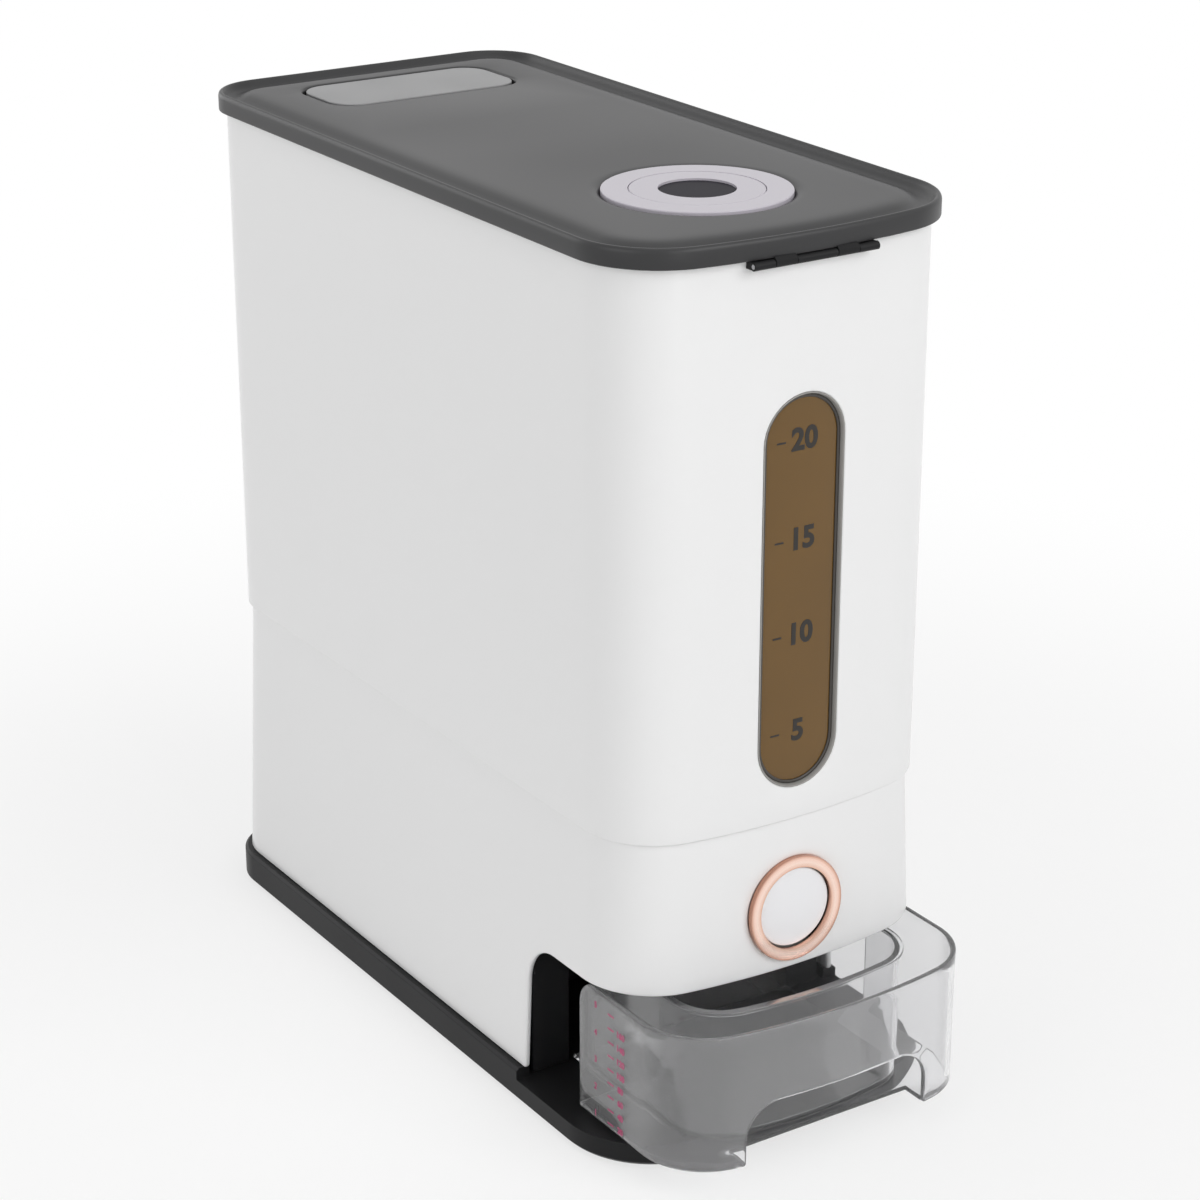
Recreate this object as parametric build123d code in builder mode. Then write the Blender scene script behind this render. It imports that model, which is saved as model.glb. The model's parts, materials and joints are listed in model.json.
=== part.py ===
"""Rice dispenser with a pull-out measuring drawer, in millimetres.

The front faces -Y, +X is to the right seen from the front, and +Z is up.
Depths are measured from the middle of the bin's bowed front face towards the rear,
and y_at() turns a depth into the Y of the model, whose origin is the middle of its footprint.
"""
from build123d import *
import math
import os

os.makedirs("parts", exist_ok=True)

# ---------------------------------------------------------------- driving dimensions
# overall body
total_height = 414.0
body_width = 167.2
body_depth = 368.6
front_bow = 10.7
front_corner_radius = 36.0
rear_corner_radius = 24.0
seam_height = 153.4
bin_wall = 2.6
bin_flange_width = 9.6
bin_flange_thickness = 3.0

# lower housing
housing_wall = 3.0
housing_top_inset = 2.1
housing_foot_growth = 3.8
cutout_top = 82.2
cutout_depth = 83.0
cutout_radius = 20.0

# base
base_height = 17.5
deck_drop = 5.5
base_growth = 7.4
base_front_reach = 6.5
base_front_bow = 13.1
base_wall = 3.0
base_lift = 1.2
base_bottom_chamfer = 2.0
base_rim_chamfer = 1.4
deck_thickness = 3.0
rim_front_gap = 1.5
foot_radius = 8.0
foot_offset_x = 68.0
foot_front_depth = 34.0
foot_rear_inset = 28.0

# drawer
drawer_out = 37.5
drawer_closed_reach = 1.0
drawer_side_gap = 0.6
drawer_side_cover = 2.0
drawer_lift = 2.0
drawer_top_gap = 3.2
drawer_wall = 2.2
drawer_corner_radius = 32.0
drawer_rear_corner = 12.0
arch_width = 97.0
arch_top = 43.0
arch_radius = 17.0
finger_gap = 17.0

# measuring cup
cup_width = 117.4
cup_length = 101.0
cup_wall = 2.0
cup_corner_radius = 24.0
cup_rear_radius = 12.0
cup_bow = 7.0
cup_lip_width = 1.8
cup_lip_height = 1.6

# rails under the drawer
rail_width = 6.0
rail_offset = 53.0
rail_start = 2.0
rail_length = 140.0
guide_rib_width = 2.0

# drawer bay inside the lower housing
bay_wall = 2.4
bay_ceiling_gap = 1.3
bay_ceiling_thickness = 2.5
bay_spare = 32.8
bay_cup_gap = 2.8

# outlet, gate and its guide
slot_width = 56.0
slot_length = 10.0
outlet_arm_gap = 7.7
outlet_wall = 2.0
gate_thickness = 2.0
gate_width = 67.2
gate_land = 2.0
guide_ledge_height = 5.7
guide_wall = 3.0
guide_wall_height = 10.0
guide_ledge_width = 3.7
guide_end_gap = 2.0
guide_bar = 3.0
guide_bar_height = 2.4
chute_drop = 5.0
chute_flange = 4.0
chute_flange_thickness = 2.0

# hopper floor
floor_wall = 2.0
floor_neck_height = 20.0
floor_neck_corner = 3.05
floor_neck_bow = 0.5
floor_rear_rise = 60.0
floor_flange_thickness = 2.0
floor_flange_reach = 2.0

# push button
button_height = 110.5
ring_outer_radius = 24.2
ring_inner_radius = 18.9
ring_proud = 2.0
ring_sink = 2.0
cap_radius = 18.4
cap_recess = 2.0
cap_front_wall = 3.0
cap_skirt_wall = 2.0
cap_length = 15.0
button_travel = 12.0
sleeve_inner_radius = 18.8
sleeve_wall = 2.2
sleeve_start = 5.2
spring_room = 4.4
sleeve_end_wall = 2.0
sleeve_foot_width = 28.0
sleeve_foot_length = 18.0
rod_radius = 5.0
arm_width = 24.0
arm_thickness = 2.5
button_spring_wall = 1.2

# window
window_width = 41.2
window_height = 176.7
window_middle = 256.8
bezel_width = 1.5
bezel_proud = 0.3
pane_thickness = 2.0
pane_margin = 4.0

# lid
lid_skirt_height = 9.1
lid_overhang = 3.75
lid_skirt_gap = 1.0
lid_deck_thickness = 3.2
lid_groove_depth = 3.0
lid_groove_draft = 20.0
lid_ridge_width = 4.6
lid_ridge_round = 1.9
lid_groove_width = 9.0
lid_panel_rise = 2.0
lid_panel_round = 1.9
seal_thickness = 1.9
seal_width = 5.0

# hinge of the lid
hinge_depth = -3.4
hinge_drop = 1.7
hinge_barrel_radius = 1.8
hinge_pin_radius = 1.0
hinge_width = 62.0
hinge_middle_width = 20.0
hinge_knuckle_width = 10.4
hinge_bar_height = 3.2

# freshness dial
dial_depth = 80.0
dial_outer_radius = 40.8
dial_split_radius = 29.3
dial_centre_radius = 16.7
dial_sink = 3.8
dial_proud = 0.5
dial_cap_stem_radius = 25.0
dial_cap_stem_wall = 2.0
dial_cap_stem_drop = 9.0
dial_centre_recess = 0.8
dial_centre_thickness = 2.4
desiccant_radius = 36.0
desiccant_wall = 2.0
desiccant_drop = 22.0
desiccant_vents = 12
desiccant_vent_radius = 1.5
desiccant_vent_circle = 18.0

# latch of the lid
latch_width = 98.0
latch_length = 46.0
latch_corner = 13.0
latch_rear_inset = 47.1
latch_recess_gap = 1.8
latch_button_thickness = 2.5
latch_travel = 3.0
latch_pocket_wall = 2.0
latch_pocket_drop = 9.8
hook_width = 30.0
hook_thickness = 2.4
hook_length = 44.0
hook_engagement = 2.4
strike_width = 34.0
strike_plate = 1.5
strike_height = 13.0
latch_spring_radius = 3.0
latch_spring_wall = 0.8
latch_spring_offset = 34.0

# screws
screw_radius = 1.6
screw_head_radius = 3.2
screw_head_height = 2.2
boss_radius = 6.0
boss_height = 26.0
base_boss_inset = 8.9
base_boss_front = 150.0
base_boss_rear_inset = 38.6
seam_boss_radius = 3.8
seam_boss_height = 18.0
seam_screw_inset = 6.0
seam_screw_front = 110.0
seam_screw_rear_inset = 68.6

# clearances
running_gap = 0.3
loose_gap = 0.5
pin_gap = 0.05
screw_gap = 0.1
through = 1.0

# ---------------------------------------------------------------- worked-out values
body_half = body_width / 2
groove_floor = total_height - lid_groove_depth
deck_bottom = groove_floor - lid_deck_thickness
body_top = deck_bottom - seal_thickness - running_gap
deck_top = base_height - deck_drop
rear_reach = body_depth + base_growth
front_reach = drawer_out + drawer_closed_reach
origin_depth = (rear_reach - front_reach) / 2


def y_at(depth):
    """Y of a point that lies this far behind the middle of the bin's front face."""
    return depth - origin_depth


def outline(plane, half, front, rear, front_radius, rear_radius, bow):
    """Closed plan outline with a bowed front edge; front and rear are Y on the plane."""
    with BuildSketch(plane) as shape:
        with BuildLine():
            ThreePointArc((-half, front + bow), (0, front), (half, front + bow))
            Polyline((half, front + bow), (half, rear), (-half, rear), (-half, front + bow))
        make_face()
        corners = shape.vertices().sort_by(Axis.Y)
        fillet(corners[:2], front_radius)
        fillet(shape.vertices().group_by(Axis.Y)[-1], rear_radius)
    return shape.sketch


def body_outline(height, growth):
    """The bin's outline grown outwards, or drawn in where growth is negative."""
    return outline(
        Plane.XY.offset(height),
        body_half + growth,
        y_at(-growth),
        y_at(body_depth + growth),
        front_corner_radius + growth,
        rear_corner_radius + growth,
        front_bow,
    )


def housing_growth(height):
    """How far the lower housing stands outside the bin's outline at a height."""
    share = (seam_height - height) / (seam_height - base_height)
    return share * (housing_foot_growth + housing_top_inset) - housing_top_inset


# the drawer, where it is drawn: pulled out by drawer_out
drawer_half = body_half + housing_growth(cutout_top) - housing_wall - drawer_side_gap
drawer_bottom = deck_top + drawer_lift
drawer_top = cutout_top - drawer_top_gap
drawer_side_length = cutout_depth + drawer_closed_reach + drawer_side_cover
drawer_front = -drawer_out - drawer_closed_reach
side_end = drawer_front + drawer_side_length
cup_front = drawer_front + drawer_wall + finger_gap
cup_rear = cup_front + cup_length
floor_top = drawer_bottom + drawer_wall
bay_depth = cup_rear + drawer_out + bay_spare

# the push button and the gate that it carries
button_surface = -housing_growth(button_height)
cap_front = button_surface - ring_proud + cap_recess
cap_inner_face = cap_front + cap_front_wall
sleeve_end = cap_front + cap_length + button_travel + spring_room + sleeve_end_wall
arm_front = sleeve_end + loose_gap + running_gap
rod_end = arm_front + arm_thickness
outlet_front = rod_end + button_travel + outlet_arm_gap + floor_flange_reach
slot_front = outlet_front + outlet_wall
slot_rear = slot_front + slot_length
outlet_rear = slot_rear + outlet_wall
slot_half = slot_width / 2
outlet_half = slot_half + outlet_wall
gate_rear = slot_rear + 2 * gate_land
guide_front = arm_front - guide_end_gap - guide_bar
guide_rear = gate_rear + button_travel + guide_end_gap + guide_bar

# levels of the outlet, from the drawer bay's ceiling up
bay_ceiling = cutout_top + bay_ceiling_gap
bay_top = bay_ceiling + bay_ceiling_thickness
guide_ledge_top = bay_top + guide_ledge_height
gate_bottom = guide_ledge_top + running_gap
gate_top = gate_bottom + gate_thickness
guide_wall_top = bay_top + guide_wall_height
floor_neck_top = guide_wall_top + floor_flange_thickness + floor_neck_height
floor_front_height = window_middle - window_height / 2 - pane_margin - loose_gap
floor_rear_height = floor_front_height + floor_rear_rise
window_reach = 2 * front_bow + bin_wall + pane_thickness


def block(low_x, high_x, low_depth, high_depth, low_z, high_z, mode=Mode.ADD):
    """A box between two corners, added to the part being built."""
    middle = ((low_x + high_x) / 2, y_at((low_depth + high_depth) / 2), (low_z + high_z) / 2)
    with Locations(middle):
        Box(high_x - low_x, high_depth - low_depth, high_z - low_z, mode=mode)


def post(x, depth, low_z, high_z, radius, mode=Mode.ADD):
    """An upright cylinder, added to the part being built."""
    with Locations((x, y_at(depth), (low_z + high_z) / 2)):
        Cylinder(radius, high_z - low_z, mode=mode)


def front_plane(depth):
    """Upright plane at a depth; its normal points forwards and its second axis is up."""
    return Plane.XZ.offset(-y_at(depth))


def save(piece, label):
    """Name a finished piece and write it to its own file."""
    piece.part.label = label
    export_step(piece.part, f"parts/{label}.step")
    print(label, round(piece.part.volume), len(piece.part.solids()))


# ---------------------------------------------------------------- base
rim_inner_growth = housing_foot_growth - housing_wall - loose_gap
base_boss_x = body_half + housing_foot_growth - base_boss_inset
base_boss_places = [
    (side * base_boss_x, depth)
    for side in (-1, 1)
    for depth in (base_boss_front, body_depth - base_boss_rear_inset)
]


def base_outline(height, inset):
    """The base's outline, whose bowed front reaches under the drawer."""
    return outline(
        Plane.XY.offset(height),
        body_half + base_growth - inset,
        y_at(inset - base_front_reach),
        y_at(rear_reach - inset),
        front_corner_radius + base_growth - inset,
        rear_corner_radius + base_growth - inset,
        base_front_bow,
    )


with BuildPart() as base_tray:
    extrude(base_outline(base_lift, 0), amount=base_height - base_lift)
    chamfer(base_tray.faces().sort_by(Axis.Z)[0].edges(), base_bottom_chamfer)
    chamfer(base_tray.faces().sort_by(Axis.Z)[-1].edges(), base_rim_chamfer)
    extrude(body_outline(deck_top, rim_inner_growth), amount=base_height, mode=Mode.SUBTRACT)
    block(-body_width, body_width, -body_depth, cutout_depth + rim_front_gap, deck_top,
          base_height + through, mode=Mode.SUBTRACT)
    extrude(base_outline(0, base_wall), amount=deck_top - deck_thickness, mode=Mode.SUBTRACT)
    for boss_x, boss_depth in base_boss_places:
        post(boss_x, boss_depth, deck_top - deck_thickness, base_height, boss_radius)
        post(boss_x, boss_depth, 0, base_height + through, screw_radius + screw_gap,
             mode=Mode.SUBTRACT)
save(base_tray, "base_tray")

foot_places = [
    (side * foot_offset_x, depth)
    for side in (-1, 1)
    for depth in (foot_front_depth, body_depth - foot_rear_inset)
]

with BuildPart() as rubber_feet:
    for foot_x, foot_depth in foot_places:
        post(foot_x, foot_depth, 0, deck_top - deck_thickness, foot_radius)
    chamfer(rubber_feet.faces().group_by(Axis.Z)[0].edges(), loose_gap)
save(rubber_feet, "rubber_feet")

with BuildPart() as base_screws:
    head_top = deck_top - deck_thickness
    for boss_x, boss_depth in base_boss_places:
        post(boss_x, boss_depth, head_top - screw_head_height, head_top, screw_head_radius)
        post(boss_x, boss_depth, head_top, base_height + boss_height / 2, screw_radius)
save(base_screws, "base_screws")

# ---------------------------------------------------------------- lower housing
seam_screw_x = body_half - seam_screw_inset
seam_screw_places = [
    (side * seam_screw_x, depth)
    for side in (-1, 1)
    for depth in (seam_screw_front, body_depth - seam_screw_rear_inset)
]
ring_tilt = math.degrees(
    math.atan((housing_foot_growth + housing_top_inset) / (seam_height - base_height))
)
ring_plane = Plane(
    origin=(0, y_at(button_surface), button_height),
    x_dir=(1, 0, 0),
    z_dir=(0, -math.cos(math.radians(ring_tilt)), math.sin(math.radians(ring_tilt))),
)

with BuildPart() as lower_housing:
    loft([body_outline(base_height, housing_foot_growth),
          body_outline(seam_height, -housing_top_inset)], ruled=True)
    loft([body_outline(base_height, housing_foot_growth - housing_wall),
          body_outline(seam_height, -housing_top_inset - housing_wall)],
         ruled=True, mode=Mode.SUBTRACT)
    with BuildSketch(Plane.YZ.offset(-body_width)) as side_cutout:
        with Locations((y_at(cutout_depth), 0)):
            Rectangle(body_depth, cutout_top, align=(Align.MAX, Align.MIN))
        fillet(side_cutout.vertices().group_by(Axis.Z)[-1].sort_by(Axis.Y)[-1], cutout_radius)
    extrude(amount=2 * body_width, mode=Mode.SUBTRACT)
    for boss_x, boss_depth in base_boss_places:
        post(boss_x, boss_depth, base_height, base_height + boss_height, boss_radius)
        post(boss_x, boss_depth, base_height - through, base_height + boss_height - through,
             screw_radius + pin_gap, mode=Mode.SUBTRACT)
    for screw_x, screw_depth in seam_screw_places:
        post(screw_x, screw_depth, seam_height - seam_boss_height, seam_height, seam_boss_radius)
        post(screw_x, screw_depth, seam_height - seam_boss_height + through, seam_height + through,
             screw_radius + pin_gap, mode=Mode.SUBTRACT)
    with BuildSketch(ring_plane.offset(-ring_sink)):
        Circle(ring_outer_radius + screw_gap)
    extrude(amount=ring_sink + bin_wall, mode=Mode.SUBTRACT)
    with BuildSketch(ring_plane.offset(-2 * housing_wall)):
        Circle(sleeve_inner_radius + running_gap)
    extrude(amount=3 * housing_wall, mode=Mode.SUBTRACT)
save(lower_housing, "lower_housing")

# ---------------------------------------------------------------- bin
with BuildPart() as hopper_bin:
    extrude(body_outline(seam_height, 0), amount=body_top - seam_height)
    extrude(body_outline(seam_height + bin_flange_thickness, -bin_wall), amount=body_top,
            mode=Mode.SUBTRACT)
    extrude(body_outline(0, -bin_flange_width), amount=body_top, mode=Mode.SUBTRACT)
    with BuildSketch(front_plane(-through)):
        with Locations((0, window_middle)):
            SlotOverall(window_height, window_width, rotation=90)
    extrude(amount=-window_reach, mode=Mode.SUBTRACT)
    for screw_x, screw_depth in seam_screw_places:
        post(screw_x, screw_depth, seam_height - through,
             seam_height + bin_flange_thickness + through, screw_radius + screw_gap,
             mode=Mode.SUBTRACT)
save(hopper_bin, "hopper_bin")

with BuildPart() as seam_screws:
    flange_top = seam_height + bin_flange_thickness
    for screw_x, screw_depth in seam_screw_places:
        post(screw_x, screw_depth, flange_top, flange_top + screw_head_height, screw_head_radius)
        post(screw_x, screw_depth, seam_height - seam_boss_height / 2, flange_top, screw_radius)
save(seam_screws, "seam_screws")


def window_shell(outer_inset, inner_inset, width, height):
    """A stadium cut from a shell that follows the bowed front wall."""
    low = window_middle - window_height
    with BuildPart() as shell:
        extrude(body_outline(low, -outer_inset), amount=2 * window_height)
        extrude(body_outline(low, -inner_inset), amount=2 * window_height, mode=Mode.SUBTRACT)
        with BuildSketch(front_plane(-front_bow)):
            with Locations((0, window_middle)):
                SlotOverall(height, width, rotation=90)
        extrude(amount=-window_reach, mode=Mode.INTERSECT)
    return shell.part


with BuildPart() as window_pane:
    add(window_shell(bin_wall, bin_wall + pane_thickness, window_width + 2 * pane_margin,
                     window_height + 2 * pane_margin))
save(window_pane, "window_pane")

with BuildPart() as window_bezel:
    add(window_shell(-bezel_proud, bin_wall, window_width - screw_gap, window_height - screw_gap))
    with BuildSketch(front_plane(-front_bow)):
        with Locations((0, window_middle)):
            SlotOverall(window_height - 2 * bezel_width, window_width - 2 * bezel_width,
                        rotation=90)
    extrude(amount=-window_reach, mode=Mode.SUBTRACT)
save(window_bezel, "window_bezel")

# ---------------------------------------------------------------- hopper floor
floor_front = bin_wall + running_gap
floor_rear = body_depth - bin_wall - running_gap
floor_tilt = math.atan((floor_rear_height - floor_front_height) / (floor_rear - floor_front))
floor_rise = math.tan(floor_tilt)


def floor_rim(inset):
    """Rim outline of the hopper floor on its sloping plane, drawn in by an inset."""
    middle = (floor_front + floor_rear) / 2
    slope = Plane(
        origin=(0, y_at(middle), (floor_front_height + floor_rear_height) / 2),
        x_dir=(1, 0, 0),
        z_dir=(0, -math.sin(floor_tilt), math.cos(floor_tilt)),
    )
    reach = (floor_rear - floor_front) / 2 / math.cos(floor_tilt)
    return outline(
        slope,
        body_half - floor_front - inset,
        inset - reach,
        reach - inset,
        front_corner_radius - floor_front - inset,
        rear_corner_radius - floor_front - inset,
        front_bow / math.cos(floor_tilt),
    )


def neck(height, inset):
    """Outline of the hopper floor's neck over the outlet slot."""
    return outline(
        Plane.XY.offset(height),
        outlet_half - inset,
        y_at(outlet_front + inset),
        y_at(outlet_rear - inset),
        floor_neck_corner - inset,
        floor_neck_corner - inset,
        floor_neck_bow,
    )


with BuildPart() as hopper_floor:
    loft([neck(floor_neck_top, 0), floor_rim(0)], ruled=True)
    neck_bottom = gate_top + running_gap
    extrude(neck(neck_bottom, 0), amount=floor_neck_top - neck_bottom)
    flange_half = gate_width / 2 + running_gap + guide_wall
    block(-flange_half, flange_half, outlet_front - floor_flange_reach,
          outlet_rear + floor_flange_reach, guide_wall_top,
          guide_wall_top + floor_flange_thickness)
    loft([neck(floor_neck_top, floor_wall), floor_rim(floor_wall)], ruled=True,
         mode=Mode.SUBTRACT)
    extrude(neck(0, floor_wall), amount=floor_neck_top, mode=Mode.SUBTRACT)
save(hopper_floor, "hopper_floor")

# ---------------------------------------------------------------- drawer bay
bay_half = cup_width / 2 + bay_cup_gap
bay_inset = housing_wall + running_gap - housing_growth(bay_ceiling)
bulkhead_front = cutout_depth + drawer_side_cover + 2 * loose_gap

with BuildPart() as drawer_bay:
    extrude(body_outline(bay_ceiling, -bay_inset - running_gap), amount=bay_ceiling_thickness)
    block(-body_width, body_width, bay_depth, body_depth + through, bay_ceiling, bay_top + through,
          mode=Mode.SUBTRACT)
    bulkhead_half = body_half - bay_inset - running_gap
    block(-bulkhead_half, bulkhead_half, bulkhead_front, bulkhead_front + bay_wall, deck_top,
          bay_ceiling)
    block(-bay_half - bay_wall, bay_half + bay_wall, bulkhead_front, bay_depth, deck_top,
          bay_ceiling)
    block(-bay_half, bay_half, bulkhead_front - through, bay_depth - bay_wall,
          deck_top - through, bay_ceiling, mode=Mode.SUBTRACT)
    block(-outlet_half - running_gap, outlet_half + running_gap, outlet_front - running_gap,
          outlet_rear + running_gap, bay_ceiling - through, bay_top + through,
          mode=Mode.SUBTRACT)
save(drawer_bay, "drawer_bay")

with BuildPart() as drawer_rails:
    for side in (-1, 1):
        block(side * rail_offset - rail_width / 2, side * rail_offset + rail_width / 2,
              rail_start, rail_start + rail_length, deck_top, drawer_bottom - 2 * running_gap)
save(drawer_rails, "drawer_rails")

# ---------------------------------------------------------------- outlet chute and gate
with BuildPart() as outlet_chute:
    block(-outlet_half, outlet_half, outlet_front, outlet_rear, bay_ceiling - chute_drop / 2,
          guide_ledge_top - running_gap)
    block(-outlet_half, outlet_half, outlet_front - chute_flange, outlet_rear + chute_flange,
          bay_top, bay_top + chute_flange_thickness)
    block(-slot_half, slot_half, slot_front, slot_rear, 0, gate_top, mode=Mode.SUBTRACT)
save(outlet_chute, "outlet_chute")

guide_inner = gate_width / 2 + running_gap

with BuildPart() as gate_guide:
    for side in (-1, 1):
        inner = side * (guide_inner - guide_ledge_width)
        wall_inner = side * guide_inner
        wall_outer = side * (guide_inner + guide_wall)
        block(min(inner, wall_outer), max(inner, wall_outer), guide_front, guide_rear,
              bay_top, guide_ledge_top)
        block(min(wall_inner, wall_outer), max(wall_inner, wall_outer), guide_front, guide_rear,
              guide_ledge_top, guide_wall_top)
    for bar_front in (guide_front, guide_rear - guide_bar):
        block(-guide_inner, guide_inner, bar_front, bar_front + guide_bar, bay_top,
              bay_top + guide_bar_height)
save(gate_guide, "gate_guide")

with BuildPart() as shutter_gate:
    block(-gate_width / 2, gate_width / 2, arm_front, gate_rear, gate_bottom, gate_top)
    block(-slot_half, slot_half, slot_front - button_travel, slot_rear - button_travel,
          gate_bottom - through, gate_top + through, mode=Mode.SUBTRACT)
save(shutter_gate, "shutter_gate")

# ---------------------------------------------------------------- push button
with BuildPart() as button_ring:
    with BuildSketch(Plane(ring_plane.origin, x_dir=(1, 0, 0),
                           z_dir=ring_plane.x_dir.cross(ring_plane.z_dir))) as ring_profile:
        ring_middle = (ring_outer_radius + ring_inner_radius) / 2
        with BuildLine():
            Line((ring_inner_radius, ring_sink), (ring_outer_radius, ring_sink))
            Line((ring_outer_radius, ring_sink), (ring_outer_radius, 0))
            ThreePointArc((ring_outer_radius, 0), (ring_middle, -ring_proud),
                          (ring_inner_radius, 0))
            Line((ring_inner_radius, 0), (ring_inner_radius, ring_sink))
        make_face()
    revolve(axis=Axis(ring_plane.origin, ring_plane.z_dir))
save(button_ring, "button_ring")


def turned(profile_radius, low_depth, high_depth, mode=Mode.ADD):
    """A cylinder along the button's axis between two depths."""
    with BuildSketch(front_plane(low_depth)) as disc:
        with Locations((0, button_height)):
            Circle(profile_radius)
    extrude(disc.sketch, amount=low_depth - high_depth, mode=mode)


with BuildPart() as button_cap:
    turned(cap_radius, cap_front, cap_front + cap_length)
    fillet(button_cap.faces().sort_by(Axis.Y)[0].edges(), loose_gap)
    turned(cap_radius - cap_skirt_wall, cap_inner_face, cap_front + cap_length + through,
           mode=Mode.SUBTRACT)
save(button_cap, "button_cap")

with BuildPart() as button_sleeve:
    turned(sleeve_inner_radius + sleeve_wall, sleeve_start, sleeve_end)
    foot_half = sleeve_foot_width / 2
    block(-foot_half, foot_half, sleeve_start + sleeve_wall,
          sleeve_start + sleeve_wall + sleeve_foot_length, bay_top,
          button_height - sleeve_inner_radius)
    turned(sleeve_inner_radius, sleeve_start - through, sleeve_end - sleeve_end_wall,
           mode=Mode.SUBTRACT)
    turned(rod_radius + screw_gap, sleeve_start, sleeve_end + through, mode=Mode.SUBTRACT)
save(button_sleeve, "button_sleeve")

with BuildPart() as push_rod:
    turned(rod_radius, cap_inner_face, rod_end)
    block(-arm_width / 2, arm_width / 2, arm_front, rod_end, gate_top, button_height + rod_radius)
save(push_rod, "push_rod")

with BuildPart() as button_spring:
    spring_radius = rod_radius + running_gap + button_spring_wall
    turned(spring_radius, cap_inner_face + running_gap, sleeve_end - sleeve_end_wall - running_gap)
    turned(spring_radius - button_spring_wall, cap_inner_face, sleeve_end, mode=Mode.SUBTRACT)
save(button_spring, "button_spring")

# ---------------------------------------------------------------- drawer, drawn pulled out
tongue_half = cup_width / 2 + cup_lip_width


def drawer_outline(height, inset):
    """Outline of the clear drawer front that wraps round both sides."""
    return outline(
        Plane.XY.offset(height),
        drawer_half - inset,
        y_at(drawer_front + inset),
        y_at(cup_rear + drawer_wall),
        drawer_corner_radius - inset,
        loose_gap,
        front_bow,
    )


def cup_outline(height, growth):
    """Outline of the measuring cup, with the same kind of bowed front."""
    return outline(
        Plane.XY.offset(height),
        cup_width / 2 + growth,
        y_at(cup_front - growth),
        y_at(cup_rear + growth),
        cup_corner_radius + growth,
        cup_rear_radius + growth,
        cup_bow,
    )


with BuildPart() as drawer_shell:
    extrude(drawer_outline(drawer_bottom, 0), amount=drawer_top - drawer_bottom)
    extrude(drawer_outline(floor_top, drawer_wall), amount=drawer_top, mode=Mode.SUBTRACT)
    block(-body_width, body_width, side_end, cup_rear + body_depth, floor_top,
          drawer_top + through, mode=Mode.SUBTRACT)
    with BuildSketch(Plane.YZ.offset(-body_width)) as rear_round:
        with Locations((y_at(side_end), drawer_top)):
            Rectangle(drawer_rear_corner, drawer_rear_corner, align=(Align.MAX, Align.MAX))
        with Locations((y_at(side_end) - drawer_rear_corner, drawer_top - drawer_rear_corner)):
            Circle(drawer_rear_corner, mode=Mode.SUBTRACT)
    extrude(amount=2 * body_width, mode=Mode.SUBTRACT)
    for side in (-1, 1):
        tongue = side * tongue_half
        block(min(tongue, side * body_width), max(tongue, side * body_width), side_end,
              cup_rear + body_depth, 0, floor_top + through, mode=Mode.SUBTRACT)
    with BuildSketch(front_plane(drawer_front - through)) as arch:
        Rectangle(arch_width, 2 * arch_top)
        fillet(arch.vertices().group_by(Axis.Z)[-1], arch_radius)
    extrude(amount=-(drawer_wall + front_bow + 2 * through), mode=Mode.SUBTRACT)
    block(-arch_width / 2, arch_width / 2, drawer_front, cup_front - running_gap, 0, floor_top,
          mode=Mode.SUBTRACT)
    rib_gap = rail_width / 2 + running_gap
    for side in (-1, 1):
        for inner in (side * rail_offset - rib_gap - guide_rib_width, side * rail_offset + rib_gap):
            block(inner, inner + guide_rib_width, cup_front + 2 * guide_rib_width, cup_rear,
                  deck_top + running_gap, drawer_bottom)
save(drawer_shell, "drawer_shell")

with BuildPart() as measuring_cup:
    extrude(cup_outline(floor_top, 0), amount=drawer_top - floor_top)
    extrude(cup_outline(drawer_top - cup_lip_height, cup_lip_width), amount=cup_lip_height)
    extrude(cup_outline(floor_top + cup_wall, -cup_wall), amount=drawer_top, mode=Mode.SUBTRACT)
    fillet(measuring_cup.faces().sort_by(Axis.Z)[0].edges(), cup_wall / 2)
save(measuring_cup, "measuring_cup")

# ---------------------------------------------------------------- lid
skirt_bottom = total_height - lid_skirt_height
panel_top = groove_floor + lid_panel_rise
panel_inset = lid_ridge_width + lid_groove_width
hinge_height = skirt_bottom - hinge_drop
dial_floor = panel_top - dial_sink
dial_top = panel_top + dial_proud
latch_depth = body_depth - latch_rear_inset
pocket_bottom = deck_bottom - latch_pocket_drop
pocket_half =latch_width / 2 + latch_recess_gap + latch_pocket_wall
pocket_front = latch_depth - latch_length / 2 - latch_recess_gap - latch_pocket_wall
pocket_rear = latch_depth + latch_length / 2 + latch_recess_gap + latch_pocket_wall
hook_bottom = pocket_bottom + latch_pocket_wall + running_gap
hook_top = hook_bottom + hook_thickness
strike_ledge = hook_top + running_gap
strike_face = body_depth - bin_wall - strike_plate
hook_tip = strike_face - loose_gap
lid_knuckle_places = [
    side * (hinge_middle_width / 2 + running_gap + hinge_knuckle_width / 2) for side in (-1, 1)
]


def hinge_barrel(x_middle, width, radius, mode=Mode.ADD):
    """A cylinder on the lid's hinge axis."""
    with Locations(Location((x_middle, y_at(hinge_depth), hinge_height), (0, 90, 0))):
        Cylinder(radius, width, mode=mode)


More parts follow.
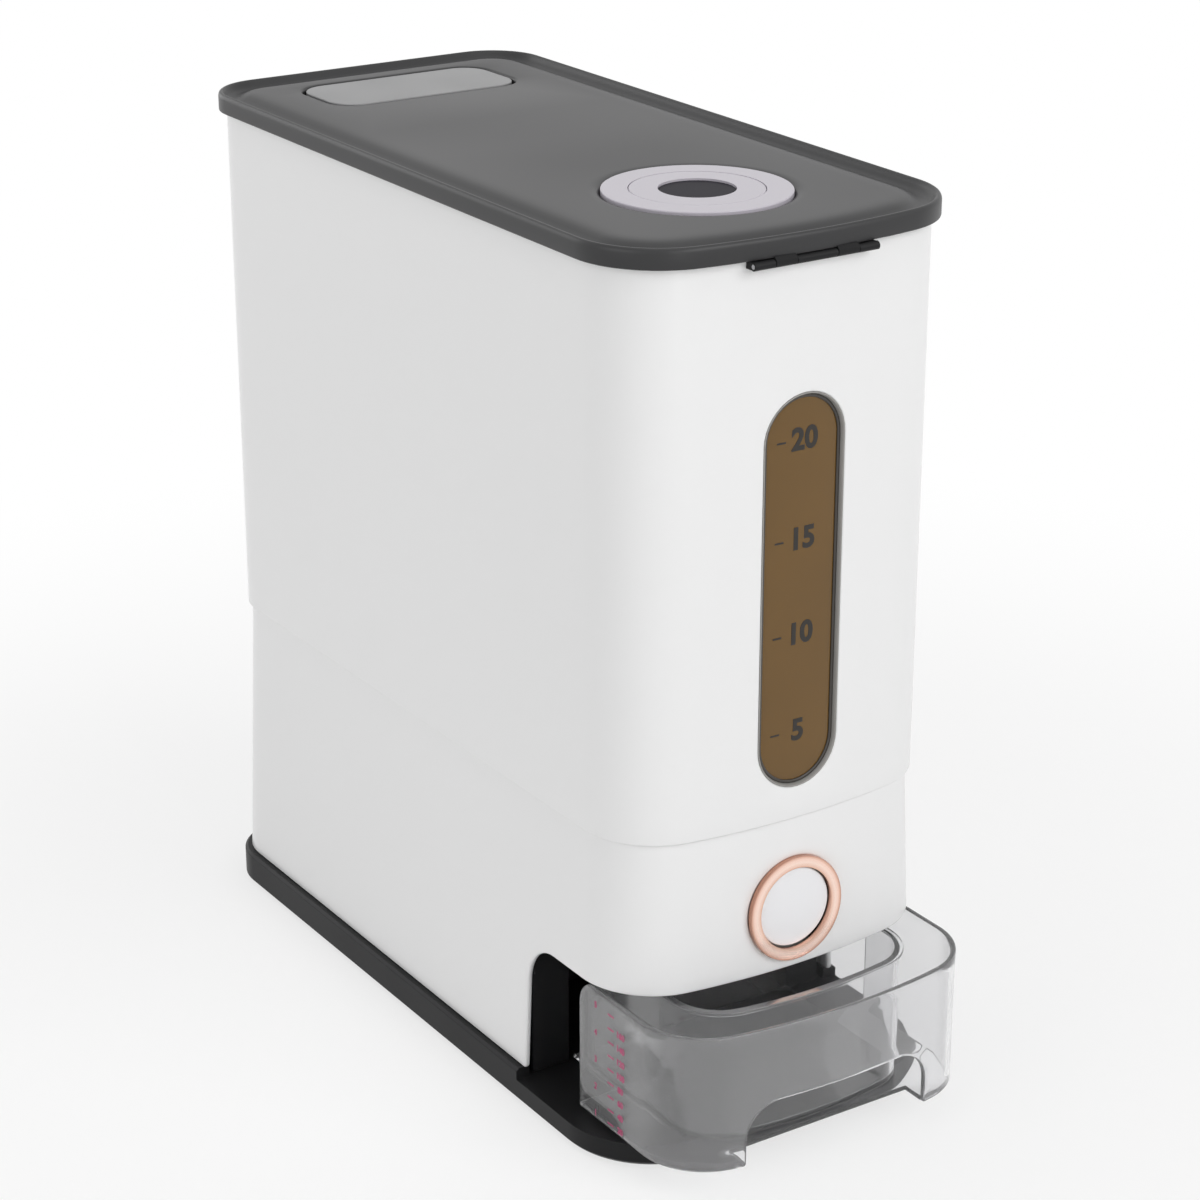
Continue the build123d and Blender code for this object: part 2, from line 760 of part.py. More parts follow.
with BuildPart() as lid_shell:
    extrude(body_outline(skirt_bottom, lid_overhang), amount=lid_skirt_height)
    fillet(lid_shell.faces().sort_by(Axis.Z)[-1].edges(), lid_ridge_round)
    extrude(body_outline(groove_floor, lid_overhang - lid_ridge_width), amount=lid_groove_depth,
            mode=Mode.SUBTRACT, taper=-lid_groove_draft)
    extrude(body_outline(skirt_bottom - through, lid_skirt_gap),
            amount=deck_bottom - skirt_bottom + through, mode=Mode.SUBTRACT)
    with BuildPart(mode=Mode.PRIVATE) as raised_panel:
        extrude(body_outline(groove_floor, lid_overhang - panel_inset), amount=lid_panel_rise)
        fillet(raised_panel.faces().sort_by(Axis.Z)[-1].edges(), lid_panel_round)
    add(raised_panel.part)
    post(0, dial_depth, dial_floor, total_height, dial_outer_radius + running_gap,
         mode=Mode.SUBTRACT)
    post(0, dial_depth, 0, total_height, dial_split_radius - 2 * through, mode=Mode.SUBTRACT)
    block(-pocket_half, pocket_half, pocket_front, pocket_rear, pocket_bottom, deck_bottom)
    with BuildSketch(Plane.XY.offset(pocket_bottom + latch_pocket_wall)):
        with Locations((0, y_at(latch_depth))):
            RectangleRounded(latch_width + 2 * latch_recess_gap,
                             latch_length + 2 * latch_recess_gap,
                             latch_corner + latch_recess_gap)
    extrude(amount=total_height, mode=Mode.SUBTRACT)
    block(-hook_width / 2 - running_gap, hook_width / 2 + running_gap, latch_depth,
          pocket_rear + through, hook_bottom - running_gap, hook_top + running_gap,
          mode=Mode.SUBTRACT)
    block(-hinge_width / 2 - loose_gap, hinge_width / 2 + loose_gap,
          -lid_overhang - through, 0, skirt_bottom - through, skirt_bottom + loose_gap,
          mode=Mode.SUBTRACT)
    for knuckle_x in lid_knuckle_places:
        block(knuckle_x - hinge_knuckle_width / 2, knuckle_x + hinge_knuckle_width / 2,
              -lid_overhang, -lid_skirt_gap, hinge_height, skirt_bottom + through)
        hinge_barrel(knuckle_x, hinge_knuckle_width, hinge_barrel_radius)
        hinge_barrel(knuckle_x, hinge_knuckle_width + 2 * pin_gap, hinge_pin_radius + pin_gap,
                     mode=Mode.SUBTRACT)
save(lid_shell, "lid_shell")

with BuildPart() as lid_seal:
    extrude(body_outline(deck_bottom - seal_thickness, 0), amount=seal_thickness)
    extrude(body_outline(deck_bottom - seal_thickness, -seal_width), amount=seal_thickness,
            mode=Mode.SUBTRACT)
save(lid_seal, "lid_seal")

with BuildPart() as hinge_bracket:
    bar_low = hinge_height - hinge_bar_height / 2
    block(-hinge_width / 2, hinge_width / 2, -lid_skirt_gap + running_gap, 2 * lid_overhang,
          bar_low, bar_low + hinge_bar_height)
    end_width = (hinge_width - hinge_middle_width) / 2 - hinge_knuckle_width - 2 * running_gap
    knuckles = [(0, hinge_middle_width)]
    knuckles += [(side * (hinge_width - end_width) / 2, end_width) for side in (-1, 1)]
    for knuckle_x, knuckle_width in knuckles:
        block(knuckle_x - knuckle_width / 2, knuckle_x + knuckle_width / 2, hinge_depth, 0,
              bar_low, bar_low + hinge_bar_height)
        hinge_barrel(knuckle_x, knuckle_width, hinge_barrel_radius)
    hinge_barrel(0, hinge_width + through, hinge_pin_radius + pin_gap / 2, mode=Mode.SUBTRACT)
    extrude(body_outline(0, 0), amount=total_height, mode=Mode.SUBTRACT)
save(hinge_bracket, "hinge_bracket")

with BuildPart() as hinge_pin:
    hinge_barrel(0, hinge_width, hinge_pin_radius)
save(hinge_pin, "hinge_pin")

# ---------------------------------------------------------------- freshness dial
with BuildPart() as dial_bezel:
    post(0, dial_depth, dial_floor, dial_top, dial_outer_radius)
    fillet(dial_bezel.faces().sort_by(Axis.Z)[-1].edges(), loose_gap)
    post(0, dial_depth, 0, total_height, dial_split_radius, mode=Mode.SUBTRACT)
save(dial_bezel, "dial_bezel")

with BuildPart() as dial_cap:
    cap_disc_radius = dial_split_radius - running_gap
    post(0, dial_depth, dial_floor + running_gap, dial_top, cap_disc_radius)
    fillet(dial_cap.faces().sort_by(Axis.Z)[-1].edges(), loose_gap)
    post(0, dial_depth, dial_floor - dial_cap_stem_drop, dial_floor + through,
         dial_cap_stem_radius)
    post(0, dial_depth, 0, dial_floor + through, dial_cap_stem_radius - dial_cap_stem_wall,
         mode=Mode.SUBTRACT)
    post(0, dial_depth, dial_top - dial_centre_recess - dial_centre_thickness, total_height,
         dial_centre_radius, mode=Mode.SUBTRACT)
save(dial_cap, "dial_cap")

with BuildPart() as dial_centre:
    centre_top = dial_top - dial_centre_recess
    post(0, dial_depth, centre_top - dial_centre_thickness, centre_top,
         dial_centre_radius - pin_gap)
    fillet(dial_centre.faces().sort_by(Axis.Z)[-1].edges(), loose_gap)
save(dial_centre, "dial_centre")

with BuildPart() as desiccant_box:
    post(0, dial_depth, deck_bottom - desiccant_drop, deck_bottom, desiccant_radius)
    post(0, dial_depth, deck_bottom - desiccant_drop + desiccant_wall, total_height,
         desiccant_radius - desiccant_wall, mode=Mode.SUBTRACT)
    with Locations((0, y_at(dial_depth), deck_bottom - desiccant_drop)):
        with PolarLocations(desiccant_vent_circle, desiccant_vents):
            Cylinder(desiccant_vent_radius, 3 * desiccant_wall, mode=Mode.SUBTRACT)
save(desiccant_box, "desiccant_box")

# ---------------------------------------------------------------- latch
latch_button_bottom = panel_top - latch_button_thickness

with BuildPart() as latch_button:
    with BuildSketch(Plane.XY.offset(latch_button_bottom)):
        with Locations((0, y_at(latch_depth))):
            RectangleRounded(latch_width, latch_length, latch_corner)
    extrude(amount=latch_button_thickness)
    fillet(latch_button.faces().sort_by(Axis.Z)[-1].edges(), loose_gap)
    ramp_bottom = hook_top + running_gap + latch_travel
    block(-hook_width / 2, hook_width / 2, latch_depth - guide_bar / 2,
          latch_depth + guide_bar / 2, ramp_bottom, latch_button_bottom)
save(latch_button, "latch_button")

with BuildPart() as latch_hook:
    block(-hook_width / 2, hook_width / 2, hook_tip - hook_length, hook_tip, hook_bottom,
          hook_top)
    chamfer(latch_hook.faces().sort_by(Axis.Y)[-1].edges().sort_by(Axis.Z)[0], hook_thickness / 2)
save(latch_hook, "latch_hook")

with BuildPart() as latch_strike:
    ledge_front = hook_tip - hook_engagement
    ledge_top = body_top
    block(-strike_width / 2, strike_width / 2, strike_face, body_depth - bin_wall,
          ledge_top - strike_height, ledge_top)
    block(-strike_width / 2, strike_width / 2, ledge_front, body_depth - bin_wall, strike_ledge,
          ledge_top)
save(latch_strike, "latch_strike")

with BuildPart() as latch_springs:
    spring_bottom = pocket_bottom + latch_pocket_wall
    for side in (-1, 1):
        place = side * latch_spring_offset
        post(place, latch_depth, spring_bottom, latch_button_bottom - running_gap,
             latch_spring_radius)
        post(place, latch_depth, spring_bottom, latch_button_bottom,
             latch_spring_radius - latch_spring_wall, mode=Mode.SUBTRACT)
save(latch_springs, "latch_springs")
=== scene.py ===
"""The looks of the rice dispenser: shells with soft edges, finishes, light and camera.

Metres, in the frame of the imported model: -Y is the front, +X the right side seen from the front,
+Z up. Lengths that are easier to read in millimetres are written as a number times mm.
"""
import bpy
import bmesh
import json
import math
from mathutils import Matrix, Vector
from mathutils.geometry import delaunay_2d_cdt


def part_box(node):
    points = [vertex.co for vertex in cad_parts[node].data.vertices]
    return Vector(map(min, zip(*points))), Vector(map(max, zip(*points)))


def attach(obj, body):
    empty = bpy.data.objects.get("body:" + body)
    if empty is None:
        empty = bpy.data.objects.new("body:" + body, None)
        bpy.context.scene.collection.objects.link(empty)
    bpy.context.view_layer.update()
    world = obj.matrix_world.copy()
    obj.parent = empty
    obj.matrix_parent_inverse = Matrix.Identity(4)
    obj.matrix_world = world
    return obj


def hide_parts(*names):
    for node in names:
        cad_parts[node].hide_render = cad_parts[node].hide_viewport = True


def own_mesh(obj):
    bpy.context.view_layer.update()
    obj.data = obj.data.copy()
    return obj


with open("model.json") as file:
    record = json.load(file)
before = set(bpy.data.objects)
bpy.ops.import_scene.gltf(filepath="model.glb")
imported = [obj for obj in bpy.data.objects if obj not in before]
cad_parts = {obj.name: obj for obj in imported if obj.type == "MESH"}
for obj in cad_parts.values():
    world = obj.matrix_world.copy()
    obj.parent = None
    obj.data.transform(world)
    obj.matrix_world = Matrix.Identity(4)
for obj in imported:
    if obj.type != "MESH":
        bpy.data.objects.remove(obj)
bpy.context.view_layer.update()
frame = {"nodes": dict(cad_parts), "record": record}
nodes = frame["nodes"]
mm = 0.001

# ------------------------------------------------------------------ sizes, from the frame
bin_low, bin_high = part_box("hopper_bin")
housing_low, housing_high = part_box("lower_housing")
lid_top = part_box("lid_shell")[1].z
ring_low, ring_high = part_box("button_ring")
dial_low, dial_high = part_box("dial_bezel")
latch_low, latch_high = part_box("latch_button")
bezel_low, bezel_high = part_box("window_bezel")
drawer_low, drawer_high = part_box("drawer_shell")
cup_low, cup_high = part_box("measuring_cup")

body_half = bin_high.x
body_front = bin_low.y
body_rear = bin_high.y
front_bow = 10.7 * mm
front_corner = 36.0 * mm
rear_corner = 24.0 * mm


def linear(red, green, blue):
    """Linear colour of an sRGB colour given as 0 to 255, by the formula of the sRGB standard."""
    channels = []
    for level in (red / 255, green / 255, blue / 255):
        channels.append(level / 12.92 if level <= 0.04045 else ((level + 0.055) / 1.055) ** 2.4)
    return (*channels, 1.0)


# ------------------------------------------------------------------ finishes
class Shader:
    """A node material that is built up step by step."""

    def __init__(self, name, colour, roughness, **sockets):
        self.material = bpy.data.materials.new(name)
        self.material.use_nodes = True
        self.tree = self.material.node_tree
        self.bsdf = self.tree.nodes["Principled BSDF"]
        self.bsdf.inputs["Base Color"].default_value = colour
        self.bsdf.inputs["Roughness"].default_value = roughness
        for socket, value in sockets.items():
            self.bsdf.inputs[socket.replace("_", " ")].default_value = value
        self.colour = colour
        self.roughness = roughness
        self.height = None

    def node(self, kind, **values):
        """A new node of this kind with these settings."""
        made = self.tree.nodes.new(kind)
        for key, value in values.items():
            setattr(made, key, value)
        return made

    def link(self, out, into):
        """Links an output to an input."""
        self.tree.links.new(out, into)

    def noise(self, scale, detail=0.0):
        """Noise in the object's own space, as a node; scale is in waves per metre."""
        place = self.node("ShaderNodeTexCoord")
        made = self.node("ShaderNodeTexNoise")
        made.inputs["Scale"].default_value = scale
        made.inputs["Detail"].default_value = detail
        self.link(place.outputs["Object"], made.inputs["Vector"])
        return made

    def mottle(self, scale, amount):
        """Slow variation of the colour, lighter and darker by amount."""
        noise = self.noise(scale)
        ramp = self.node("ShaderNodeValToRGB")
        for stop, factor in zip(ramp.color_ramp.elements, (1 - amount, 1 + amount)):
            stop.color = (*(min(c * factor, 1.0) for c in self.colour[:3]), 1.0)
        self.link(noise.outputs["Fac"], ramp.inputs["Fac"])
        self.link(ramp.outputs["Color"], self.bsdf.inputs["Base Color"])
        return self

    def radial(self, centre, stops):
        """Colour by the distance from a centre; stops are (millimetres, sRGB colour)."""
        place = self.node("ShaderNodeTexCoord")
        apart = self.node("ShaderNodeVectorMath", operation="DISTANCE")
        apart.inputs[1].default_value = centre
        self.link(place.outputs["Object"], apart.inputs[0])
        first, last = stops[0][0], stops[-1][0]
        spread = self.node("ShaderNodeMapRange")
        spread.inputs["From Min"].default_value = first * mm
        spread.inputs["From Max"].default_value = last * mm
        self.link(apart.outputs["Value"], spread.inputs["Value"])
        ramp = self.node("ShaderNodeValToRGB")
        elements = ramp.color_ramp.elements
        while len(elements) < len(stops):
            elements.new(0.5)
        for element, (distance, colour) in zip(elements, stops):
            element.position = (distance - first) / (last - first)
            element.color = linear(*colour)
        self.link(spread.outputs["Result"], ramp.inputs["Fac"])
        self.link(ramp.outputs["Color"], self.bsdf.inputs["Base Color"])
        return self

    def wear(self, scale, amount):
        """Slow variation of the roughness by amount."""
        noise = self.noise(scale)
        spread = self.node("ShaderNodeMapRange")
        spread.inputs["To Min"].default_value = max(self.roughness - amount, 0.0)
        spread.inputs["To Max"].default_value = self.roughness + amount
        self.link(noise.outputs["Fac"], spread.inputs["Value"])
        self.link(spread.outputs["Result"], self.bsdf.inputs["Roughness"])
        return self

    def grain(self, scale, depth, strength=0.5, detail=2.0):
        """Fine relief: bumps of this depth in metres."""
        noise = self.noise(scale, detail)
        bump = self.node("ShaderNodeBump")
        bump.inputs["Strength"].default_value = strength
        bump.inputs["Distance"].default_value = depth
        self.link(noise.outputs["Fac"], bump.inputs["Height"])
        if self.height is not None:
            self.link(self.height.outputs["Normal"], bump.inputs["Normal"])
        self.link(bump.outputs["Normal"], self.bsdf.inputs["Normal"])
        self.height = bump
        return self


body_white = (
    Shader("white_gloss_abs", linear(240, 240, 240), 0.3, Coat_Weight=0.25, Coat_Roughness=0.12)
    .mottle(5, 0.008).wear(6, 0.03).grain(900, 0.004 * mm, 0.2).material
)
inner_white = (
    Shader("inner_white_plastic", linear(224, 224, 221), 0.48)
    .mottle(20, 0.02).wear(30, 0.06).grain(1400, 0.02 * mm).material
)
acetal = (
    Shader("acetal", linear(232, 230, 222), 0.38)
    .mottle(25, 0.02).wear(30, 0.05).grain(1200, 0.015 * mm).material
)
button_white = (
    Shader("button_white", linear(244, 244, 246), 0.22, Coat_Weight=0.3, Coat_Roughness=0.08)
    .mottle(25, 0.012).wear(30, 0.04).grain(240, 0.02 * mm, 0.25).material
)
base_black = (
    Shader("satin_black_plastic", linear(32, 32, 33), 0.42, IOR=1.24)
    .mottle(30, 0.12).wear(22, 0.07).grain(1600, 0.012 * mm).material
)
lid_charcoal = (
    Shader("charcoal_satin_plastic", linear(50, 50, 51), 0.4, IOR=1.4)
    .mottle(12, 0.05).wear(9, 0.05).grain(2200, 0.012 * mm, 0.5).material
)
latch_grey = (
    Shader("latch_grey_plastic", linear(146, 146, 147), 0.38)
    .mottle(30, 0.03).wear(40, 0.05).grain(2000, 0.006 * mm).material
)
dial_lilac = (
    Shader("dial_lilac_plastic", linear(208, 203, 212), 0.3)
    .mottle(30, 0.02).wear(30, 0.04).grain(1500, 0.002 * mm).material
)
dial_dark = (
    Shader("dial_dark_gloss", linear(48, 46, 53), 0.2, IOR=1.05)
    .mottle(60, 0.1).wear(60, 0.04).grain(500, 0.002 * mm, 0.3).material
)
ring_rose = (
    Shader("rose_gold_plating_painted_shade", linear(244, 206, 188), 0.2, Metallic=1.0)
    # Painted shade and highlight: the ring's colour is darker at its inner and outer edges and
    # lighter in the middle, standing in for the shading of its domed face.
    .radial((ring_low + ring_high) / 2, (
        (18.9, (214, 172, 152)), (19.6, (240, 202, 184)), (21.2, (251, 224, 210)),
        (22.6, (249, 215, 199)), (23.5, (230, 188, 170)), (24.2, (190, 144, 124))))
    .wear(90, 0.05).grain(700, 0.003 * mm, 0.3).material
)
bezel_dark = (
    Shader("bezel_dark_plastic", linear(58, 54, 50), 0.34)
    .mottle(60, 0.08).wear(50, 0.05).grain(1500, 0.02 * mm).material
)
reveal_grey = (
    Shader("reveal_grey_plastic", linear(150, 148, 145), 0.35)
    .mottle(40, 0.04).wear(50, 0.05).grain(1200, 0.02 * mm).material
)
steel = (
    Shader("plated_steel", linear(178, 178, 180), 0.28, Metallic=1.0)
    .mottle(80, 0.05).wear(120, 0.08).grain(2500, 0.01 * mm).material
)
foot_rubber = (
    Shader("foot_rubber", linear(40, 40, 40), 0.7)
    .mottle(80, 0.1).wear(60, 0.08).grain(1800, 0.05 * mm).material
)
seal_rubber = (
    Shader("seal_silicone", linear(188, 188, 188), 0.5)
    .mottle(60, 0.04).wear(60, 0.06).grain(1500, 0.03 * mm).material
)
print_black = Shader("print_black", linear(30, 25, 19), 0.5).mottle(300, 0.15).material
print_pink = Shader("print_pink", linear(184, 62, 112), 0.45).mottle(300, 0.12).material
clear_plastic = (
    Shader("clear_styrene", linear(248, 248, 249), 0.03, Transmission_Weight=0.94, IOR=1.45)
    .grain(60, 0.02 * mm, 0.3).material
)
window_amber = (
    Shader("window_amber", linear(140, 106, 54), 0.1, Transmission_Weight=0.45, IOR=1.4)
    .mottle(30, 0.05).grain(50, 0.01 * mm, 0.2).material
)

finishes = {
    "body_white": body_white,
    "base_black": base_black,
    "lid_charcoal": lid_charcoal,
    "latch_grey": latch_grey,
    "dial_lilac": dial_lilac,
    "dial_dark": dial_dark,
    "ring_rose": ring_rose,
    "button_white": button_white,
    "clear_plastic": clear_plastic,
    "window_amber": window_amber,
    "bezel_grey": bezel_dark,
    "inner_white": inner_white,
    "acetal": acetal,
    "steel": steel,
    "foot_rubber": foot_rubber,
    "seal_rubber": seal_rubber,
}
node_slots = {row["node"]: row["material_slot"] for row in frame["record"]["subparts"]}
for node_name, node_object in nodes.items():
    for material_slot in node_object.material_slots:
        material_slot.material = finishes[node_slots[node_name]]


# ------------------------------------------------------------------ mesh helpers
double_distance = 0.005 * mm
cad_double_distance = 0.002 * mm
flat_degrees = 0.5
bevel_degrees = 35.0
bevel_segments = 3
shell_sharp_degrees = 50
knuckle_sharp_degrees = 40
mitre_limit = 0.5
cdt_tolerance = 1e-7


def finish_mesh(name, mesh, material, body, replaced=()):
    """Links a bmesh as a smooth piece that rides on a body."""
    bmesh.ops.remove_doubles(mesh, verts=mesh.verts, dist=double_distance)
    bmesh.ops.recalc_face_normals(mesh, faces=mesh.faces)
    data = bpy.data.meshes.new(name)
    mesh.to_mesh(data)
    mesh.free()
    for face in data.polygons:
        face.use_smooth = True
    piece = bpy.data.objects.new(name, data)
    bpy.context.scene.collection.objects.link(piece)
    data.materials.append(material)
    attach(piece, body)
    if replaced:
        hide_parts(*replaced)
    return piece


def sharpen(piece, degrees):
    """Shades a smooth piece with sharp edges where its faces meet at more than this angle."""
    mesh = bmesh.new()
    mesh.from_mesh(piece.data)
    for edge in mesh.edges:
        if len(edge.link_faces) == 2 and edge.calc_face_angle() > math.radians(degrees):
            edge.smooth = False
    mesh.to_mesh(piece.data)
    mesh.free()


def soften(piece, width):
    """Rounds the sharp edges of a CAD node with modifiers; its mesh stays as it is."""
    weld = piece.modifiers.new("weld", "WELD")
    weld.merge_threshold = cad_double_distance
    flatten = piece.modifiers.new("flatten", "DECIMATE")
    flatten.decimate_type = "DISSOLVE"
    flatten.angle_limit = math.radians(flat_degrees)
    bevel = piece.modifiers.new("bevel", "BEVEL")
    bevel.width = width
    bevel.segments = bevel_segments
    bevel.limit_method = "ANGLE"
    bevel.angle_limit = math.radians(bevel_degrees)
    bevel.miter_outer = "MITER_ARC"
    normals = piece.modifiers.new("normals", "WEIGHTED_NORMAL")
    normals.keep_sharp = False
    normals.weight = 80     # percent: large flat faces decide the shading


def strip(mesh, first, second, closed=True):
    """Quads between two rows of vertices."""
    count = len(first)
    for index in range(count if closed else count - 1):
        following = (index + 1) % count
        corners = [first[index], first[following], second[following], second[index]]
        if len(set(corners)) > 2:
            mesh.faces.new(list(dict.fromkeys(corners)))


def stack(mesh, rows, closed=True):
    """A skin through rows of points; returns the rows of vertices."""
    made = [[mesh.verts.new(point) for point in row] for row in rows]
    for lower, upper in zip(made, made[1:]):
        strip(mesh, lower, upper, closed)
    return made


class Plan:
    """The plan outline shared by bin, housing, lid and base: bowed front and four round corners."""

    def __init__(self, half, front, rear, front_radius, rear_radius, bow):
        self.sizes = (half, front, rear, front_radius, rear_radius, bow)
        self.lengths = [abs(self.piece(index, 0.0)[2]) for index in range(5)]
        self.half_length = sum(self.lengths)

    def piece(self, index, share, growth=0.0):
        """x, y and the length of one of the five pieces of the right half, from the front."""
        half, front, rear, front_radius, rear_radius, bow = self.sizes
        half, front, rear = half + growth, front - growth, rear + growth
        front_radius, rear_radius = front_radius + growth, rear_radius + growth
        bow_radius = (half * half + bow * bow) / (2 * bow)
        corner_x = half - front_radius
        reach = bow_radius - front_radius
        corner_y = front + bow_radius - math.sqrt(reach * reach - corner_x * corner_x)
        turn = math.asin(corner_x / reach)
        if index == 0:
            angle = turn * share
            return (bow_radius * math.sin(angle),
                    front + bow_radius * (1 - math.cos(angle)), bow_radius * turn)
        if index == 1:
            angle = turn + (math.pi / 2 - turn) * share
            return (corner_x + front_radius * math.sin(angle),
                    corner_y - front_radius * math.cos(angle),
                    front_radius * (math.pi / 2 - turn))
        if index == 2:
            side = rear - rear_radius - corner_y
            return half, corner_y + side * share, side
        if index == 3:
            angle = math.pi / 2 * share
            return (half - rear_radius * (1 - math.cos(angle)),
                    rear - rear_radius * (1 - math.sin(angle)), rear_radius * math.pi / 2)
        back = half - rear_radius
        return back * (1 - share), rear, back

    def at(self, run, growth=0.0):
        """Point at a run along the outline from the front middle, positive towards +X."""
        left = min(abs(run), self.half_length)
        for index, length in enumerate(self.lengths):
            if left <= length or index == 4:
                x, y, _ = self.piece(index, min(left / length, 1.0), growth)
                return (x if run >= 0 else -x), y
            left -= length

    def runs(self, step, corner_step):
        """Runs of a closed row of points, closer together on the corners."""
        right = []
        start = 0.0
        for index, length in enumerate(self.lengths):
            wanted = corner_step if index in (1, 3) else step
            count = max(1, math.ceil(length / wanted))
            right += [start + length * number / count for number in range(count)]
            start += length
        right.append(start)
        return [-run for run in reversed(right[1:])] + right

    def row(self, z, growth=0.0, step=8 * mm, corner_step=3 * mm):
        """A closed row of points at one height, without a double point at the rear middle."""
        return [(*self.at(run, growth), z) for run in self.runs(step, corner_step)[1:]]


body_plan = Plan(body_half, body_front, body_rear, front_corner, rear_corner, front_bow)


def offset_chain(chain, distance, closed):
    """The chain moved to its left by a distance, mitred at its corners."""
    moved = []
    count = len(chain)
    for index, point in enumerate(chain):
        before = chain[index - 1] if closed or index > 0 else None
        after = chain[(index + 1) % count] if closed or index < count - 1 else None
        normals = []
        for start, end in ((before, point), (point, after)):
            if start is None or end is None:
                continue
            run = (Vector(end) - Vector(start)).normalized()
            normals.append(Vector((-run.y, run.x)))
        middle = sum(normals, Vector((0, 0))).normalized()
        reach = distance / max(middle.dot(normals[0]), mitre_limit)
        moved.append(Vector(point) + middle * reach)
    return moved


def inside(point, loops):
    """Whether a point lies inside the outer loop and outside the holes."""
    crossings = 0
    for loop in loops:
        for index, start in enumerate(loop):
            end = loop[(index + 1) % len(loop)]
            if (start[1] > point[1]) != (end[1] > point[1]):
                across = (end[0] - start[0]) * (point[1] - start[1]) / (end[1] - start[1])
                if point[0] < start[0] + across:
                    crossings += 1
    return crossings % 2 == 1


def far_from(point, loops, distance):
    """Whether a point keeps its distance from every loop's points."""
    for loop in loops:
        for other in loop:
            if abs(other[0] - point[0]) < distance and abs(other[1] - point[1]) < distance:
                return False
    return True


def triangulate(loops, fill):
    """Triangles between the loops, through the fill points inside them."""
    points = []
    edges = []
    for loop in loops:
        start = len(points)
        points += [Vector(point) for point in loop]
        edges += [(start + i, start + (i + 1) % len(loop)) for i in range(len(loop))]
    points += [Vector(point) for point in fill]
    points, _, faces, *_ = delaunay_2d_cdt(points, edges, [], 1, cdt_tolerance)
    middles = [sum((points[index] for index in face), Vector((0, 0))) / 3 for face in faces]
    return points, [face for face, middle in zip(faces, middles) if inside(middle, loops)]


def skin(mesh, boundary, holes, fill, place, thickness, edge, back=True, rim_steps=4):
    """A shell laid out flat: (a, b) points placed by place(a, b, inset).

    boundary is a list of chains that together close the outline, and holes are closed chains;
    the shell's material is on the left of each. Every edge is rounded to the radius edge.
    """
    outer = []
    for chain in boundary:
        outer += offset_chain(chain, edge, len(boundary) == 1)
    loops = [outer] + [offset_chain(hole, edge, True) for hole in holes]
    loops = [[tuple(point) for point in loop] for loop in loops]
    points, faces = triangulate(loops, fill)
    for inset in ((0.0, thickness) if back else (0.0,)):
        verts = [mesh.verts.new(place(point[0], point[1], inset)) for point in points]
        for face in faces:
            corners = [verts[index] for index in face]
            mesh.faces.new(corners if inset == 0.0 else corners[::-1])
    for chain, closed in [(c, len(boundary) == 1) for c in boundary] + [(h, True) for h in holes]:
        rows = []
        for step in range(rim_steps + 1):
            turn = math.pi / 2 * step / rim_steps
            rows.append((edge * (1 - math.sin(turn)), edge * (1 - math.cos(turn))))
        if back:
            rows += [(aside, thickness - inset) for aside, inset in reversed(rows)]
        else:
            rows.append((0.0, thickness))
        moved = [
            [place(point[0], point[1], inset) for point in offset_chain(chain, aside, closed)]
            for aside, inset in rows
        ]
        stack(mesh, moved, closed)


def grid(loops, a_values, b_values, distance):
    """Grid points that lie well inside the loops."""
    return [
        (a, b)
        for a in a_values
        for b in b_values
        if inside((a, b), loops) and far_from((a, b), loops, distance)
    ]


def spaced(low, high, step):
    """Values strictly between low and high, about a step apart."""
    count = max(2, round((high - low) / step))
    return [low + (high - low) * number / count for number in range(1, count)]


def arc(centre, radius, start, end, count):
    """Points on an arc between two angles in degrees."""
    return [
        (centre[0] + radius * math.cos(math.radians(start + (end - start) * i / count)),
         centre[1] + radius * math.sin(math.radians(start + (end - start) * i / count)))
        for i in range(count + 1)
    ]


def circle(centre, radius, count=96):
    """A closed circle of points."""
    return arc(centre, radius, 0, 360, count)[:-1]


def straight(start, end, step):
    """Points on a line, with its start and without its end."""
    count = max(1, round((Vector(end) - Vector(start)).length / step))
    return [tuple(Vector(start).lerp(Vector(end), i / count)) for i in range(count)]


# ------------------------------------------------------------------ bin
window_play = 0.05 * mm
window_half = (bezel_high.x - bezel_low.x) / 2 + window_play
window_top = bezel_high.z + window_play
window_bottom = bezel_low.z - window_play
bin_wall = 2.6 * mm
bin_edge = 0.9 * mm
side_step = 7 * mm
corner_step = 2.6 * mm
bin_fill_step = 9 * mm
fill_margin = 2.4 * mm


def stadium(half, low, high, count=20, step=6 * mm):
    """An upright stadium as a closed chain with the material outside, on its left."""
    points = arc((0.0, high - half), half, 0, 180, count)
    points += straight((-half, high - half), (-half, low + half), step)[1:]
    points += arc((0.0, low + half), half, 180, 360, count)
    points += straight((half, low + half), (half, high - half), step)[1:]
    return points[::-1]


def bin_place(run, z, inset):
    """A point of the bin's wall."""
    return (*body_plan.at(run, -inset), z)


def make_bin():
    """The upper bin's wall with the window's opening."""
    runs = body_plan.runs(side_step, corner_step)
    bottom = [(run, bin_low.z) for run in runs]
    top = [(run, bin_high.z) for run in reversed(runs)]
    window = stadium(window_half, window_bottom, window_top)
    loops = [bottom + top, window]
    fill = grid(loops, runs[1:-1], spaced(bin_low.z, bin_high.z, bin_fill_step), fill_margin)
    mesh = bmesh.new()
    skin(mesh, [bottom, top], [window], fill, bin_place, bin_wall, bin_edge)
    finish_mesh("bin_shell", mesh, body_white, "root", ["hopper_bin"])


make_bin()

